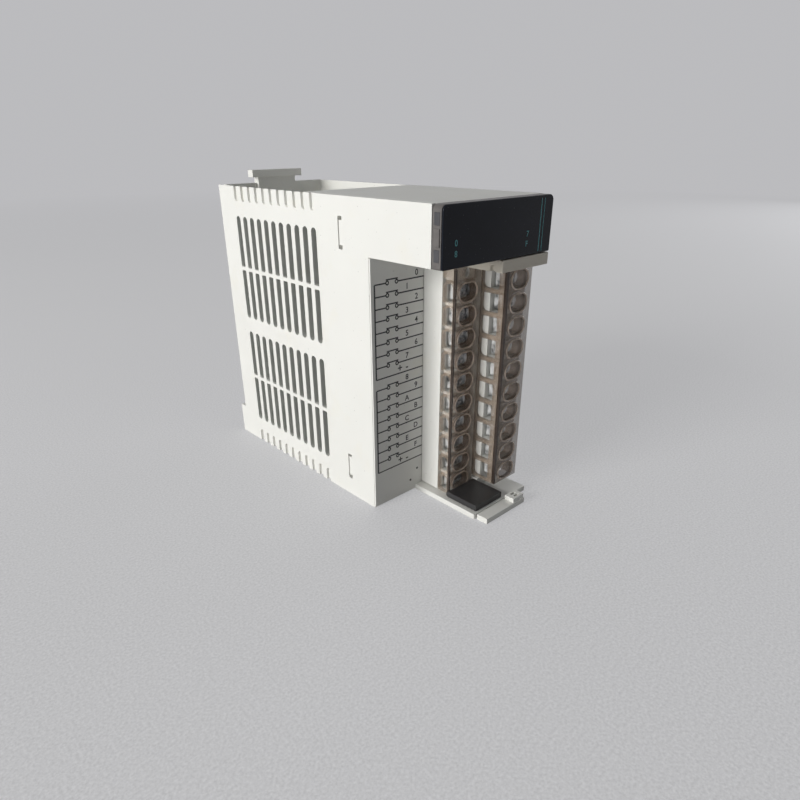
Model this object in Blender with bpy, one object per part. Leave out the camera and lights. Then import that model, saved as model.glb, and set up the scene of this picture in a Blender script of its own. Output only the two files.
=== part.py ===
"""Plug-in input module of a rack PLC: vented case, display head, stepped plug-off terminal block and two levers.

Every piece is drawn in case coordinates: x to the right from the left side, y to the back from the head's
front wall, z up from the bottom. One empty carries them all to the middle of the module's footprint.
"""
import math

import bmesh
import bpy

# Case, in metres
WIDTH = 0.0480
HEIGHT = 0.1030
DEPTH = 0.1120
WALL = 0.0020
SIDE_COVER = 0.0020
CLEARANCE = 0.0003
HEAD_HEIGHT = 0.0165
RECESS = 0.0257
TOP_PLATE = 0.0580
WELL_DEPTH = 0.0060
FOOT_REACH = 0.0035
FOOT_HEIGHT = 0.0125
OVERSHOOT = 0.0010

# Vents, edge grooves and snap slots of the two sides
VENT_COLUMNS = 11
VENT_PITCH = 0.00473
VENT_WIDTH = 0.0024
VENT_FROM_BACK = 0.0122
VENT_LENGTH = 0.0183
VENT_BRIDGE = 0.0017
VENT_MIDDLE = 0.0057
GROOVE_LENGTH = 0.0052
GROOVE_WIDTH = 0.0015
GROOVE_DEPTH = 0.0009
SNAP_FROM_FRONT = 0.0387
SNAP_FROM_TOP = 0.0107
SNAP_FROM_BOTTOM = 0.0115
SNAP_WIDTH = 0.0020
SNAP_LENGTH = 0.0098
SNAP_END_GAP = 0.0012
SNAP_TONGUE = 0.0015

# Display head
WINDOW = 0.0015
FRAME = 0.0021
FRAME_RIM = 0.0020
FRAME_TAB = 0.0004
FRAME_TAB_HEIGHT = 0.0040
GUIDE_WIDTH = 0.0352
GUIDE_HEIGHT = 0.0098
GUIDE_ROWS = 2
GUIDE_COLUMNS = 8
GUIDE_PITCH = 0.0040
GUIDE_POST = 0.0016
GUIDE_POST_LENGTH = 0.0030

# Boards and connectors
BOARD = 0.0016
BOARD_STANDOFF = 0.0024
HEADER_WIDTH = 0.0052
HEADER_END = 0.0100
HEADER_FLANGE = 0.0050
PLUG_ENGAGEMENT = 0.0062
REAR_PLUG_WIDTH = 0.0140
REAR_PLUG_HEIGHT = 0.0330
REAR_PLUG_DEPTH = 0.0100
REAR_PLUG_REACH = 0.0024
OPTO_COUNT = 4
OPTO_SIZE = (0.0032, 0.0100, 0.0120)
OPTO_PITCH = 0.0180
CHIP_SIZE = (0.0022, 0.0140, 0.0140)
CHIP_PITCH = 0.0300

# Terminal block
LABEL_WIDTH = 0.0228
LABEL_MARGIN = 0.0010
LABEL_SHEET = 0.0003
LEFT_COLUMN = 0.0125
LEFT_BASE = 0.0085
STEP = 0.0082
LEFT_GUARD = 0.0052
RIGHT_GUARD = 0.0074
GUARD_WALL = 0.0013
ROWS = 10
END_BLOCK = 0.0042
BARRIER = 0.0010
ACCESS_WIDTH = 0.0080
ACCESS_BRIDGE = 0.00202
HEAD_RADIUS = 0.0024
HEAD_THICKNESS = 0.0018
WASHER_PLAY = 0.00021
WASHER = 0.0008
SHANK_RADIUS = 0.0015
SHANK_LENGTH = 0.0045
FIXING_HEAD_RADIUS = 0.0014
FIXING_HEAD = 0.0016
FIXING_SHANK_RADIUS = 0.0009
FIXING_LENGTH = 0.0080
FIXING_SINK = 0.0030

# Ledge, shelf, lip and release lever around the terminal block
LEDGE_HEIGHT = 0.0037
LEDGE_LEFT = 0.0255
LEDGE_DEPTH = 0.0138
SHELF = 0.0020
SHELF_LEFT = 0.0195
SHELF_REACH = 0.0036
LIP_GAP = 0.0004
LIP_DEPTH = 0.0044
LIP_INSET = 0.0011
LIP_LENGTH = 0.0207
KEEPER_LENGTH = 0.0060
KEEPER_RISE = 0.0016
KEEPER_SLOT_LENGTH = 0.0024
KEEPER_SLOT_WIDTH = 0.0008
RELEASE_THICKNESS = 0.0021
RELEASE_OVERHANG = 0.0016
RELEASE_LENGTH = 0.0129
PIN_RADIUS = 0.0005
PIN_PLAY = 0.0002
PIN_GRIP = 0.0040

# Lock lever at the top of the back
LOCK_THICKNESS = 0.0030
LOCK_STEM_WIDTH = 0.0170
LOCK_SIDE_PLAY = 0.0006
LOCK_RISE = 0.0047
LOCK_SLAB_WIDTH = 0.0225
LOCK_SLAB_HEIGHT = 0.0026
LOCK_SLAB_OVERHANG = 0.0008
LOCK_PIVOT_DROP = 0.0090
LOCK_TAIL = 0.0012
LOCK_SWING_ROOM = 0.0014
LOCK_HOOK_REACH = 0.0030
LOCK_HOOK_HEIGHT = 0.0030
LOCK_HOOK_DROP = 0.0020

# Roundness of small round shapes
SLOT_END_STEPS = 3
ROUND_SIDES = 12

# Places worked out from the driving dimensions
INNER_LEFT = SIDE_COVER + CLEARANCE
INNER_RIGHT = WIDTH - WALL
HEAD_BOTTOM = HEIGHT - HEAD_HEIGHT
WELL_FLOOR = HEIGHT - WELL_DEPTH
FRAME_FRONT = -CLEARANCE - FRAME
WINDOW_FRONT = FRAME_FRONT - CLEARANCE - WINDOW
LIP_BACK = -SHELF_REACH - LIP_GAP
LIP_FRONT = LIP_BACK - LIP_DEPTH
MIDDLE_X = WIDTH / 2
MIDDLE_Y = (LIP_FRONT + DEPTH + FOOT_REACH) / 2
BOARD_LEFT = INNER_RIGHT - BOARD_STANDOFF - BOARD
MOUNTING_X = BOARD_LEFT - CLEARANCE
LEDGE_BOTTOM = HEAD_BOTTOM - CLEARANCE - LEDGE_HEIGHT
BLOCK_TOP = LEDGE_BOTTOM - CLEARANCE
BLOCK_BOTTOM = SHELF + CLEARANCE
BLOCK_BACK = RECESS - CLEARANCE
BLOCK_RIGHT = WIDTH - CLEARANCE
STEP_X = LABEL_WIDTH + LEFT_COLUMN
LEFT_SEAT = BLOCK_BACK - LEFT_BASE
RIGHT_SEAT = LEFT_SEAT - STEP
LEFT_FRONT = LEFT_SEAT - CLEARANCE - LEFT_GUARD
RIGHT_FRONT = RIGHT_SEAT - CLEARANCE - RIGHT_GUARD
GUARD_INSET = GUARD_WALL + CLEARANCE
END_FRONT = LEFT_FRONT + GUARD_INSET
END_BOTTOM = BLOCK_TOP - END_BLOCK
ROW_PITCH = (END_BOTTOM - BLOCK_BOTTOM + BARRIER / 2) / ROWS
ACCESS_HEIGHT = ROW_PITCH - ACCESS_BRIDGE
WASHER_RADIUS = (ROW_PITCH - BARRIER) / 2 - WASHER_PLAY
FIRST_LEFT_ROW = END_BOTTOM - ROW_PITCH / 2
FIRST_RIGHT_ROW = END_BOTTOM
LEFT_X = LABEL_WIDTH + (LEFT_COLUMN - CLEARANCE) / 2
RIGHT_X = (STEP_X + BLOCK_RIGHT) / 2
RELEASE_RADIUS = RELEASE_THICKNESS / 2
RELEASE_Y = LEFT_FRONT - CLEARANCE - RELEASE_RADIUS
RELEASE_Z = BLOCK_BOTTOM + RELEASE_RADIUS
RELEASE_LEFT = LABEL_WIDTH - RELEASE_OVERHANG
RELEASE_RIGHT = STEP_X - CLEARANCE
LOCK_Y = DEPTH - WALL / 2
LOCK_Z = HEIGHT - LOCK_PIVOT_DROP
LOCK_NOTCH = LOCK_STEM_WIDTH / 2 + LOCK_SIDE_PLAY
HEADER_LEFT = MOUNTING_X - HEADER_WIDTH
HEADER_BOTTOM = BLOCK_BOTTOM + HEADER_END
HEADER_TOP = BLOCK_TOP - HEADER_END
INNER_FRONT = RECESS + WALL + CLEARANCE
REAR_PLUG_LEFT = MOUNTING_X - REAR_PLUG_WIDTH
REAR_PLUG_BOTTOM = (HEIGHT - REAR_PLUG_HEIGHT) / 2

PLACE = {
    "X": lambda a, b, along: (along, a, b),
    "Y": lambda a, b, along: (a, along, b),
    "Z": lambda a, b, along: (a, b, along),
}


def clear_scene():
    for obj in list(bpy.data.objects):
        bpy.data.objects.remove(obj, do_unlink=True)


def principled(name, colour, roughness, metallic=0.0, alpha=1.0):
    material = bpy.data.materials.new(name)
    material.use_nodes = True
    shader = material.node_tree.nodes["Principled BSDF"]
    shader.inputs["Base Color"].default_value = (*colour, 1.0)
    shader.inputs["Roughness"].default_value = roughness
    shader.inputs["Metallic"].default_value = metallic
    shader.inputs["Alpha"].default_value = alpha
    return material


def add_prism(bm, outline, axis, start, end):
    """Adds an outline, given in the other two axes, extruded along one axis."""
    place = PLACE[axis]
    near = [bm.verts.new(place(a, b, start)) for a, b in outline]
    far = [bm.verts.new(place(a, b, end)) for a, b in outline]
    bm.faces.new(near)
    bm.faces.new(far[::-1])
    for i, corner in enumerate(near):
        bm.faces.new((near[i - 1], corner, far[i], far[i - 1]))


def add_block(bm, low, high):
    outline = [(low[0], low[1]), (high[0], low[1]), (high[0], high[1]), (low[0], high[1])]
    add_prism(bm, outline, "Z", low[2], high[2])


def ring(centre, radius, sides=ROUND_SIDES):
    """The corners of a round outline."""
    turns = [math.tau * i / sides for i in range(sides)]
    return [(centre[0] + radius * math.cos(t), centre[1] + radius * math.sin(t)) for t in turns]


def slot(centre, length_a, length_b):
    """A round-ended slot, longer along its first or its second axis."""
    radius = min(length_a, length_b) / 2
    reach_a = length_a / 2 - radius
    reach_b = length_b / 2 - radius
    start = 0.0 if reach_b > reach_a else -math.pi / 2
    outline = []
    for end in (1, -1):
        for i in range(SLOT_END_STEPS + 1):
            turn = start + math.pi * i / SLOT_END_STEPS
            a = centre[0] + end * (reach_a + radius * math.cos(turn))
            b = centre[1] + end * (reach_b + radius * math.sin(turn))
            outline.append((a, b))
    return outline


def add_turned(bm, profile, sides=ROUND_SIDES):
    """Turns a profile of (radius, y) points about the y axis and caps both ends."""
    rings = []
    for radius, y in profile:
        rings.append([bm.verts.new((a, y, b)) for a, b in ring((0.0, 0.0), radius, sides)])
    bm.faces.new(rings[0])
    bm.faces.new(rings[-1][::-1])
    for lower, upper in zip(rings, rings[1:]):
        for i in range(sides):
            bm.faces.new((lower[i - 1], lower[i], upper[i], upper[i - 1]))


def mesh_of(name, bm, origin=(0.0, 0.0, 0.0)):
    """Closes a bmesh into a mesh whose own origin is the given point."""
    bmesh.ops.translate(bm, verts=bm.verts, vec=[-value for value in origin])
    bmesh.ops.recalc_face_normals(bm, faces=bm.faces)
    mesh = bpy.data.meshes.new(name)
    bm.to_mesh(mesh)
    bm.free()
    return mesh


def place_mesh(name, mesh, material, origin=(0.0, 0.0, 0.0)):
    obj = bpy.data.objects.new(name, mesh)
    if material and not mesh.materials:
        mesh.materials.append(material)
    bpy.context.scene.collection.objects.link(obj)
    obj.parent = bpy.data.objects["module_frame"]
    obj.location = origin
    return obj


def piece(name, bm, material, origin=(0.0, 0.0, 0.0)):
    return place_mesh(name, mesh_of(name, bm, origin), material, origin)


def helper(name, bm):
    """A shape that only cuts or extends another one."""
    obj = piece(name, bm, None)
    obj.hide_render = True
    obj.display_type = "WIRE"
    return obj


def combine(target, operation, name, bm):
    modifier = target.modifiers.new(name, "BOOLEAN")
    modifier.operation = operation
    modifier.solver = "EXACT"
    modifier.object = helper(f"{target.name}_{name}", bm)


def cut(target, name, bm):
    combine(target, "DIFFERENCE", name, bm)


def extend(target, name, bm):
    combine(target, "UNION", name, bm)


def blocks(*corners):
    """A bmesh of separate blocks, each given by its low and high corner."""
    bm = bmesh.new()
    for low, high in corners:
        add_block(bm, low, high)
    return bm


def prisms(outlines, axis, start, end):
    bm = bmesh.new()
    for outline in outlines:
        add_prism(bm, outline, axis, start, end)
    return bm


def column_places():
    return [DEPTH - VENT_FROM_BACK - VENT_PITCH * i for i in range(VENT_COLUMNS)]


def vent_outlines():
    """Two groups of slots, one above the other, each slot parted by a bridge."""
    outlines = []
    for y in column_places():
        for side in (1, -1):
            inner = VENT_MIDDLE / 2 + VENT_LENGTH / 2
            outer = inner + VENT_LENGTH + VENT_BRIDGE
            for reach in (inner, outer):
                outlines.append(slot((y, HEIGHT / 2 + side * reach), VENT_WIDTH, VENT_LENGTH))
    return outlines


def groove_outlines():
    """Round-ended grooves that run out over the top and the bottom edge."""
    length = 2 * GROOVE_LENGTH
    return [slot((y, z), GROOVE_WIDTH, length) for y in column_places() for z in (0.0, HEIGHT)]


def snap_places():
    return (HEIGHT - SNAP_FROM_TOP, SNAP_FROM_BOTTOM)


def side_outline():
    """The stepped outline of the case, seen from the side."""
    return [(0.0, HEAD_BOTTOM), (0.0, HEIGHT), (DEPTH, HEIGHT), (DEPTH, 0.0), (RECESS, 0.0), (RECESS, HEAD_BOTTOM)]


def foot(left, right):
    """A foot at the lower back corner, which hooks into the base that the module plugs onto."""
    return blocks(((left, DEPTH - WALL, 0.0), (right, DEPTH + FOOT_REACH, FOOT_HEIGHT)))


def build_case_tub(material):
    tub = piece("case_tub", prisms([side_outline()], "X", INNER_LEFT, WIDTH), material)
    hollow = [
        (WALL, HEAD_BOTTOM + WALL),
        (WALL, HEIGHT - WALL),
        (TOP_PLATE - WALL, HEIGHT - WALL),
        (TOP_PLATE - WALL, WELL_FLOOR - WALL),
        (DEPTH - WALL, WELL_FLOOR - WALL),
        (DEPTH - WALL, WALL),
        (RECESS + WALL, WALL),
        (RECESS + WALL, HEAD_BOTTOM + WALL),
    ]
    cut(tub, "hollow", prisms([hollow], "X", INNER_LEFT - OVERSHOOT, INNER_RIGHT))
    well_low = (INNER_LEFT - OVERSHOOT, TOP_PLATE, WELL_FLOOR)
    cut(tub, "well", blocks((well_low, (INNER_RIGHT, DEPTH - WALL, HEIGHT + OVERSHOOT))))
    notch_low = (MIDDLE_X - LOCK_NOTCH, DEPTH - LOCK_THICKNESS - LOCK_SWING_ROOM, LOCK_Z - WALL)
    notch_high = (MIDDLE_X + LOCK_NOTCH, DEPTH + OVERSHOOT, HEIGHT + 2 * OVERSHOOT)
    cut(tub, "lock_notch", blocks((notch_low, notch_high)))
    pin_reach = LOCK_NOTCH + PIN_GRIP + CLEARANCE
    bore = prisms([ring((LOCK_Y, LOCK_Z), PIN_RADIUS + PIN_PLAY)], "X", MIDDLE_X - pin_reach, MIDDLE_X + pin_reach)
    cut(tub, "lock_bore", bore)
    window_z = HEIGHT - HEAD_HEIGHT / 2
    window_x = GUIDE_WIDTH / 2 + CLEARANCE
    window_low = (MIDDLE_X - window_x, -OVERSHOOT, window_z - GUIDE_HEIGHT / 2 - CLEARANCE)
    window_high = (MIDDLE_X + window_x, WALL + OVERSHOOT, window_z + GUIDE_HEIGHT / 2 + CLEARANCE)
    header_low = (HEADER_LEFT - CLEARANCE, RECESS - OVERSHOOT, HEADER_BOTTOM - CLEARANCE)
    header_high = (MOUNTING_X + CLEARANCE, RECESS + WALL + OVERSHOOT, HEADER_TOP + CLEARANCE)
    plug_low = (REAR_PLUG_LEFT - CLEARANCE, DEPTH - WALL - OVERSHOOT, REAR_PLUG_BOTTOM - CLEARANCE)
    plug_top = REAR_PLUG_BOTTOM + REAR_PLUG_HEIGHT + CLEARANCE
    plug_high = (MOUNTING_X + CLEARANCE, DEPTH + OVERSHOOT, plug_top)
    openings = blocks((window_low, window_high), (header_low, header_high), (plug_low, plug_high))
    cut(tub, "openings", openings)
    cut(tub, "vents", prisms(vent_outlines(), "X", INNER_RIGHT - OVERSHOOT, WIDTH + OVERSHOOT))
    cut(tub, "grooves", prisms(groove_outlines(), "X", WIDTH - GROOVE_DEPTH, WIDTH + OVERSHOOT))
    extend(tub, "foot", foot(INNER_RIGHT - WALL, WIDTH))
    for name, z, root in zip(("upper", "lower"), snap_places(), (HEIGHT - WALL / 2, WALL / 2)):
        extend(tub, f"{name}_tongue", snap_tongue(z, root))
        extend(tub, f"{name}_nub", snap_nub(z))


def snap_tongue(z, root):
    """A tongue that springs from the top or the bottom wall and backs a snap slot."""
    low, high = sorted((root, z + math.copysign(SNAP_LENGTH / 2, z - root)))
    half = SNAP_WIDTH / 2 + WALL / 2
    return blocks(
        ((INNER_LEFT, SNAP_FROM_FRONT - half, low), (INNER_LEFT + SNAP_TONGUE, SNAP_FROM_FRONT + half, high))
    )


def snap_nub(z):
    """The part of a tongue that snaps into its slot, shorter than the slot by a gap at each end."""
    half_y = SNAP_WIDTH / 2 - CLEARANCE
    half_z = SNAP_LENGTH / 2 - SNAP_END_GAP
    return blocks(
        (
            (CLEARANCE, SNAP_FROM_FRONT - half_y, z - half_z),
            (INNER_LEFT + SNAP_TONGUE / 2, SNAP_FROM_FRONT + half_y, z + half_z),
        )
    )


def build_side_cover(material):
    cover = piece("side_cover", prisms([side_outline()], "X", 0.0, SIDE_COVER), material)
    cut(cover, "vents", prisms(vent_outlines(), "X", -OVERSHOOT, SIDE_COVER + OVERSHOOT))
    cut(cover, "grooves", prisms(groove_outlines(), "X", -OVERSHOOT, GROOVE_DEPTH))
    slots = []
    for z in snap_places():
        low = (-OVERSHOOT, SNAP_FROM_FRONT - SNAP_WIDTH / 2, z - SNAP_LENGTH / 2)
        high = (SIDE_COVER + OVERSHOOT, SNAP_FROM_FRONT + SNAP_WIDTH / 2, z + SNAP_LENGTH / 2)
        slots.append((low, high))
    cut(cover, "snap_slots", blocks(*slots))
    extend(cover, "foot", foot(0.0, SIDE_COVER))


def build_display(dark, smoked, clear, board):
    frame_back = -CLEARANCE
    frame = piece("display_frame", blocks(((0.0, FRAME_FRONT, HEAD_BOTTOM), (WIDTH, frame_back, HEIGHT))), dark)
    inner_low = (FRAME_RIM, FRAME_FRONT - OVERSHOOT, HEAD_BOTTOM + FRAME_RIM)
    inner_high = (WIDTH - FRAME_RIM, frame_back + OVERSHOOT, HEIGHT - FRAME_RIM)
    cut(frame, "view", blocks((inner_low, inner_high)))
    middle = HEIGHT - HEAD_HEIGHT / 2
    tab_low = middle - FRAME_TAB_HEIGHT / 2
    tab_high = middle + FRAME_TAB_HEIGHT / 2
    tab_front = FRAME_FRONT + FRAME_TAB
    tab_back = frame_back - FRAME_TAB
    tabs = (
        ((-FRAME_TAB, tab_front, tab_low), (FRAME_RIM / 2, tab_back, tab_high)),
        ((WIDTH - FRAME_RIM / 2, tab_front, tab_low), (WIDTH + FRAME_TAB, tab_back, tab_high)),
    )
    extend(frame, "tabs", blocks(*tabs))
    window_back = WINDOW_FRONT + WINDOW
    piece("display_window", blocks(((0.0, WINDOW_FRONT, HEAD_BOTTOM), (WIDTH, window_back, HEIGHT))), smoked)
    guide_back = WALL - CLEARANCE
    guide_low = (MIDDLE_X - GUIDE_WIDTH / 2, FRAME_FRONT, middle - GUIDE_HEIGHT / 2)
    guide_high = (MIDDLE_X + GUIDE_WIDTH / 2, guide_back, middle + GUIDE_HEIGHT / 2)
    guide = piece("light_guide", blocks((guide_low, guide_high)), clear)
    post_end = guide_back + GUIDE_POST_LENGTH
    posts = []
    for row in range(GUIDE_ROWS):
        for column in range(GUIDE_COLUMNS):
            x = MIDDLE_X + GUIDE_PITCH * (column - (GUIDE_COLUMNS - 1) / 2)
            z = middle + GUIDE_PITCH * (row - (GUIDE_ROWS - 1) / 2)
            half = GUIDE_POST / 2
            posts.append(((x - half, guide_back - OVERSHOOT, z - half), (x + half, post_end, z + half)))
    extend(guide, "posts", blocks(*posts))
    led_front = post_end + CLEARANCE
    led_low = (INNER_LEFT + CLEARANCE, led_front, HEAD_BOTTOM + WALL + CLEARANCE)
    led_high = (INNER_RIGHT - CLEARANCE, led_front + BOARD, HEIGHT - WALL - CLEARANCE)
    piece("led_board", blocks((led_low, led_high)), board)


def build_electronics(board, dark, chip):
    board_low = (BOARD_LEFT, INNER_FRONT, WALL + CLEARANCE)
    board_high = (BOARD_LEFT + BOARD, DEPTH - WALL - CLEARANCE, WELL_FLOOR - WALL - CLEARANCE)
    piece("main_board", blocks((board_low, board_high)), board)
    tongue_low = (HEADER_LEFT, BLOCK_BACK - PLUG_ENGAGEMENT, HEADER_BOTTOM)
    tongue_high = (MOUNTING_X, INNER_FRONT + HEADER_FLANGE, HEADER_TOP)
    header = piece("terminal_header", blocks((tongue_low, tongue_high)), dark)
    flange_low = (HEADER_LEFT - HEADER_FLANGE, INNER_FRONT, HEADER_BOTTOM + CLEARANCE)
    flange_high = (HEADER_LEFT + HEADER_WIDTH / 2, INNER_FRONT + HEADER_FLANGE - CLEARANCE, HEADER_TOP - CLEARANCE)
    extend(header, "flange", blocks((flange_low, flange_high)))
    plug_low = (REAR_PLUG_LEFT, DEPTH - REAR_PLUG_DEPTH, REAR_PLUG_BOTTOM)
    plug_high = (MOUNTING_X, DEPTH + REAR_PLUG_REACH, REAR_PLUG_BOTTOM + REAR_PLUG_HEIGHT)
    piece("backplane_connector", blocks((plug_low, plug_high)), dark)
    parts = [("optocoupler", OPTO_SIZE, OPTO_COUNT, OPTO_PITCH, INNER_FRONT + HEADER_FLANGE * 2)]
    parts.append(("chip", CHIP_SIZE, 2, CHIP_PITCH, INNER_FRONT + HEADER_FLANGE * 2 + OPTO_SIZE[1] * 2))
    for name, size, count, pitch, front in parts:
        for i in range(count):
            z = HEIGHT / 2 + pitch * (i - (count - 1) / 2)
            low = (MOUNTING_X - size[0], front, z - size[2] / 2)
            high = (MOUNTING_X, front + size[1], z + size[2] / 2)
            piece(f"{name}_{i + 1}", blocks((low, high)), chip)


def rows_of(first):
    return [first - ROW_PITCH * i for i in range(ROWS)]


def guard_spans():
    """Left, right, front and seat of each column, with its rows and the ends of its guard."""
    left_rows = rows_of(FIRST_LEFT_ROW)
    right_rows = rows_of(FIRST_RIGHT_ROW)
    left_ends = (BLOCK_BOTTOM, BLOCK_TOP)
    right_ends = (right_rows[-1] - ROW_PITCH / 2, BLOCK_TOP)
    left = (LABEL_WIDTH, STEP_X - CLEARANCE, LEFT_FRONT, LEFT_SEAT, left_rows, left_ends)
    right = (STEP_X, BLOCK_RIGHT, RIGHT_FRONT, RIGHT_SEAT, right_rows, right_ends)
    return {"left": left, "right": right}


def build_terminal_base(material):
    outline = [
        (LABEL_WIDTH, BLOCK_BACK),
        (LABEL_WIDTH, LEFT_SEAT),
        (STEP_X, LEFT_SEAT),
        (STEP_X, RIGHT_SEAT),
        (BLOCK_RIGHT, RIGHT_SEAT),
        (BLOCK_RIGHT, BLOCK_BACK),
    ]
    base = piece("terminal_base", prisms([outline], "Z", BLOCK_BOTTOM, BLOCK_TOP), material)
    end_low = (LABEL_WIDTH + GUARD_INSET, END_FRONT, END_BOTTOM)
    end_high = (STEP_X - CLEARANCE - GUARD_INSET, LEFT_SEAT + OVERSHOOT, BLOCK_TOP)
    extend(base, "end_block", blocks((end_low, end_high)))
    for side, (left, right, front, seat, rows, _) in guard_spans().items():
        barriers = []
        for z in rows[:-1]:
            middle = z - ROW_PITCH / 2
            low = (left + GUARD_INSET, front + GUARD_INSET, middle - BARRIER / 2)
            high = (right - GUARD_INSET, seat + OVERSHOOT, middle + BARRIER / 2)
            barriers.append((low, high))
        extend(base, f"{side}_barriers", blocks(*barriers))
        holes = [ring(((left + right) / 2, z), SHANK_RADIUS + PIN_PLAY) for z in rows]
        cut(base, f"{side}_holes", prisms(holes, "Y", seat - OVERSHOOT, seat + SHANK_LENGTH + CLEARANCE))
    socket_low = (HEADER_LEFT - CLEARANCE, BLOCK_BACK - PLUG_ENGAGEMENT - CLEARANCE, HEADER_BOTTOM - CLEARANCE)
    socket_high = (MOUNTING_X + CLEARANCE, BLOCK_BACK + OVERSHOOT, HEADER_TOP + CLEARANCE)
    cut(base, "socket", blocks((socket_low, socket_high)))
    centre = (LEFT_X, BLOCK_TOP - END_BLOCK / 2)
    sink = END_FRONT + FIXING_SINK
    cut(base, "fixing_sink", prisms([ring(centre, FIXING_HEAD_RADIUS + CLEARANCE)], "Y", END_FRONT - OVERSHOOT, sink))
    bore_end = sink + FIXING_LENGTH + CLEARANCE
    bore = prisms([ring(centre, FIXING_SHANK_RADIUS + PIN_PLAY)], "Y", sink - OVERSHOOT, bore_end)
    cut(base, "fixing_bore", bore)
    pin_end = STEP_X + PIN_GRIP + CLEARANCE
    pivot = prisms([ring((RELEASE_Y, RELEASE_Z), PIN_RADIUS + PIN_PLAY)], "X", STEP_X - OVERSHOOT, pin_end)
    cut(base, "release_bore", pivot)


def build_guards(material):
    for side, (left, right, front, seat, rows, ends) in guard_spans().items():
        back = seat - CLEARANCE
        inner = front + GUARD_WALL
        channel = [
            (left, back),
            (left, front),
            (right, front),
            (right, back),
            (right - GUARD_WALL, back),
            (right - GUARD_WALL, inner),
            (left + GUARD_WALL, inner),
            (left + GUARD_WALL, back),
        ]
        guard = piece(f"{side}_cover", prisms([channel], "Z", *ends), material)
        holes = [slot(((left + right) / 2, z), ACCESS_WIDTH, ACCESS_HEIGHT) for z in rows]
        if side == "left":
            holes.append(ring((LEFT_X, BLOCK_TOP - END_BLOCK / 2), FIXING_HEAD_RADIUS + CLEARANCE))
        cut(guard, "access", prisms(holes, "Y", front - OVERSHOOT, inner + OVERSHOOT))
        entries = []
        for z in rows:
            low = (left - OVERSHOOT, inner + CLEARANCE, z - ACCESS_HEIGHT / 2)
            high = (left + GUARD_WALL + OVERSHOOT, back + OVERSHOOT, z + ACCESS_HEIGHT / 2)
            entries.append((low, high))
        cut(guard, "wire_entries", blocks(*entries))


def build_screws(material):
    """Terminal screws with captive washers, all sharing one mesh, and the block's own fixing screw."""
    bm = bmesh.new()
    neck = -WASHER
    profile = [
        (HEAD_RADIUS, neck - HEAD_THICKNESS),
        (HEAD_RADIUS, neck),
        (WASHER_RADIUS, neck),
        (WASHER_RADIUS, 0.0),
        (SHANK_RADIUS, 0.0),
        (SHANK_RADIUS, SHANK_LENGTH),
    ]
    add_turned(bm, profile)
    mesh = mesh_of("terminal_screw", bm)
    for side, (left, right, _, seat, rows, _) in guard_spans().items():
        for i, z in enumerate(rows, 1):
            place_mesh(f"screw_{side}_{i:02d}", mesh, material, ((left + right) / 2, seat - CLEARANCE, z))
    bm = bmesh.new()
    head = [(FIXING_HEAD_RADIUS, -FIXING_HEAD), (FIXING_HEAD_RADIUS, 0.0)]
    add_turned(bm, [*head, (FIXING_SHANK_RADIUS, 0.0), (FIXING_SHANK_RADIUS, FIXING_LENGTH)])
    seat = END_FRONT + FIXING_SINK - CLEARANCE
    place_mesh("fixing_screw", mesh_of("fixing_screw", bm), material, (LEFT_X, seat, BLOCK_TOP - END_BLOCK / 2))


def build_release_lever(material, steel):
    """The black lever: a plate with a round back end, which turns on a pin held by the terminal base."""
    pivot = (RELEASE_LEFT, RELEASE_Y, RELEASE_Z)
    front = RELEASE_Y - RELEASE_LENGTH
    top = RELEASE_Z + RELEASE_RADIUS
    bottom = RELEASE_Z - RELEASE_RADIUS
    arc = [math.pi / 2 - math.pi * i / (2 * SLOT_END_STEPS) for i in range(2 * SLOT_END_STEPS + 1)]
    outline = [(front, bottom), (front, top)]
    for turn in arc:
        outline.append((RELEASE_Y + RELEASE_RADIUS * math.cos(turn), RELEASE_Z + RELEASE_RADIUS * math.sin(turn)))
    lever = piece("release_lever", prisms([outline], "X", RELEASE_LEFT, RELEASE_RIGHT), material, pivot)
    pin_left = RELEASE_LEFT + RELEASE_OVERHANG
    bore = prisms(
        [ring((RELEASE_Y, RELEASE_Z), PIN_RADIUS + PIN_PLAY)],
        "X",
        pin_left - CLEARANCE,
        RELEASE_RIGHT + OVERSHOOT,
    )
    cut(lever, "bore", bore)
    pin = prisms([ring((RELEASE_Y, RELEASE_Z), PIN_RADIUS)], "X", pin_left, STEP_X + PIN_GRIP)
    piece("release_pin", pin, steel)


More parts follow.
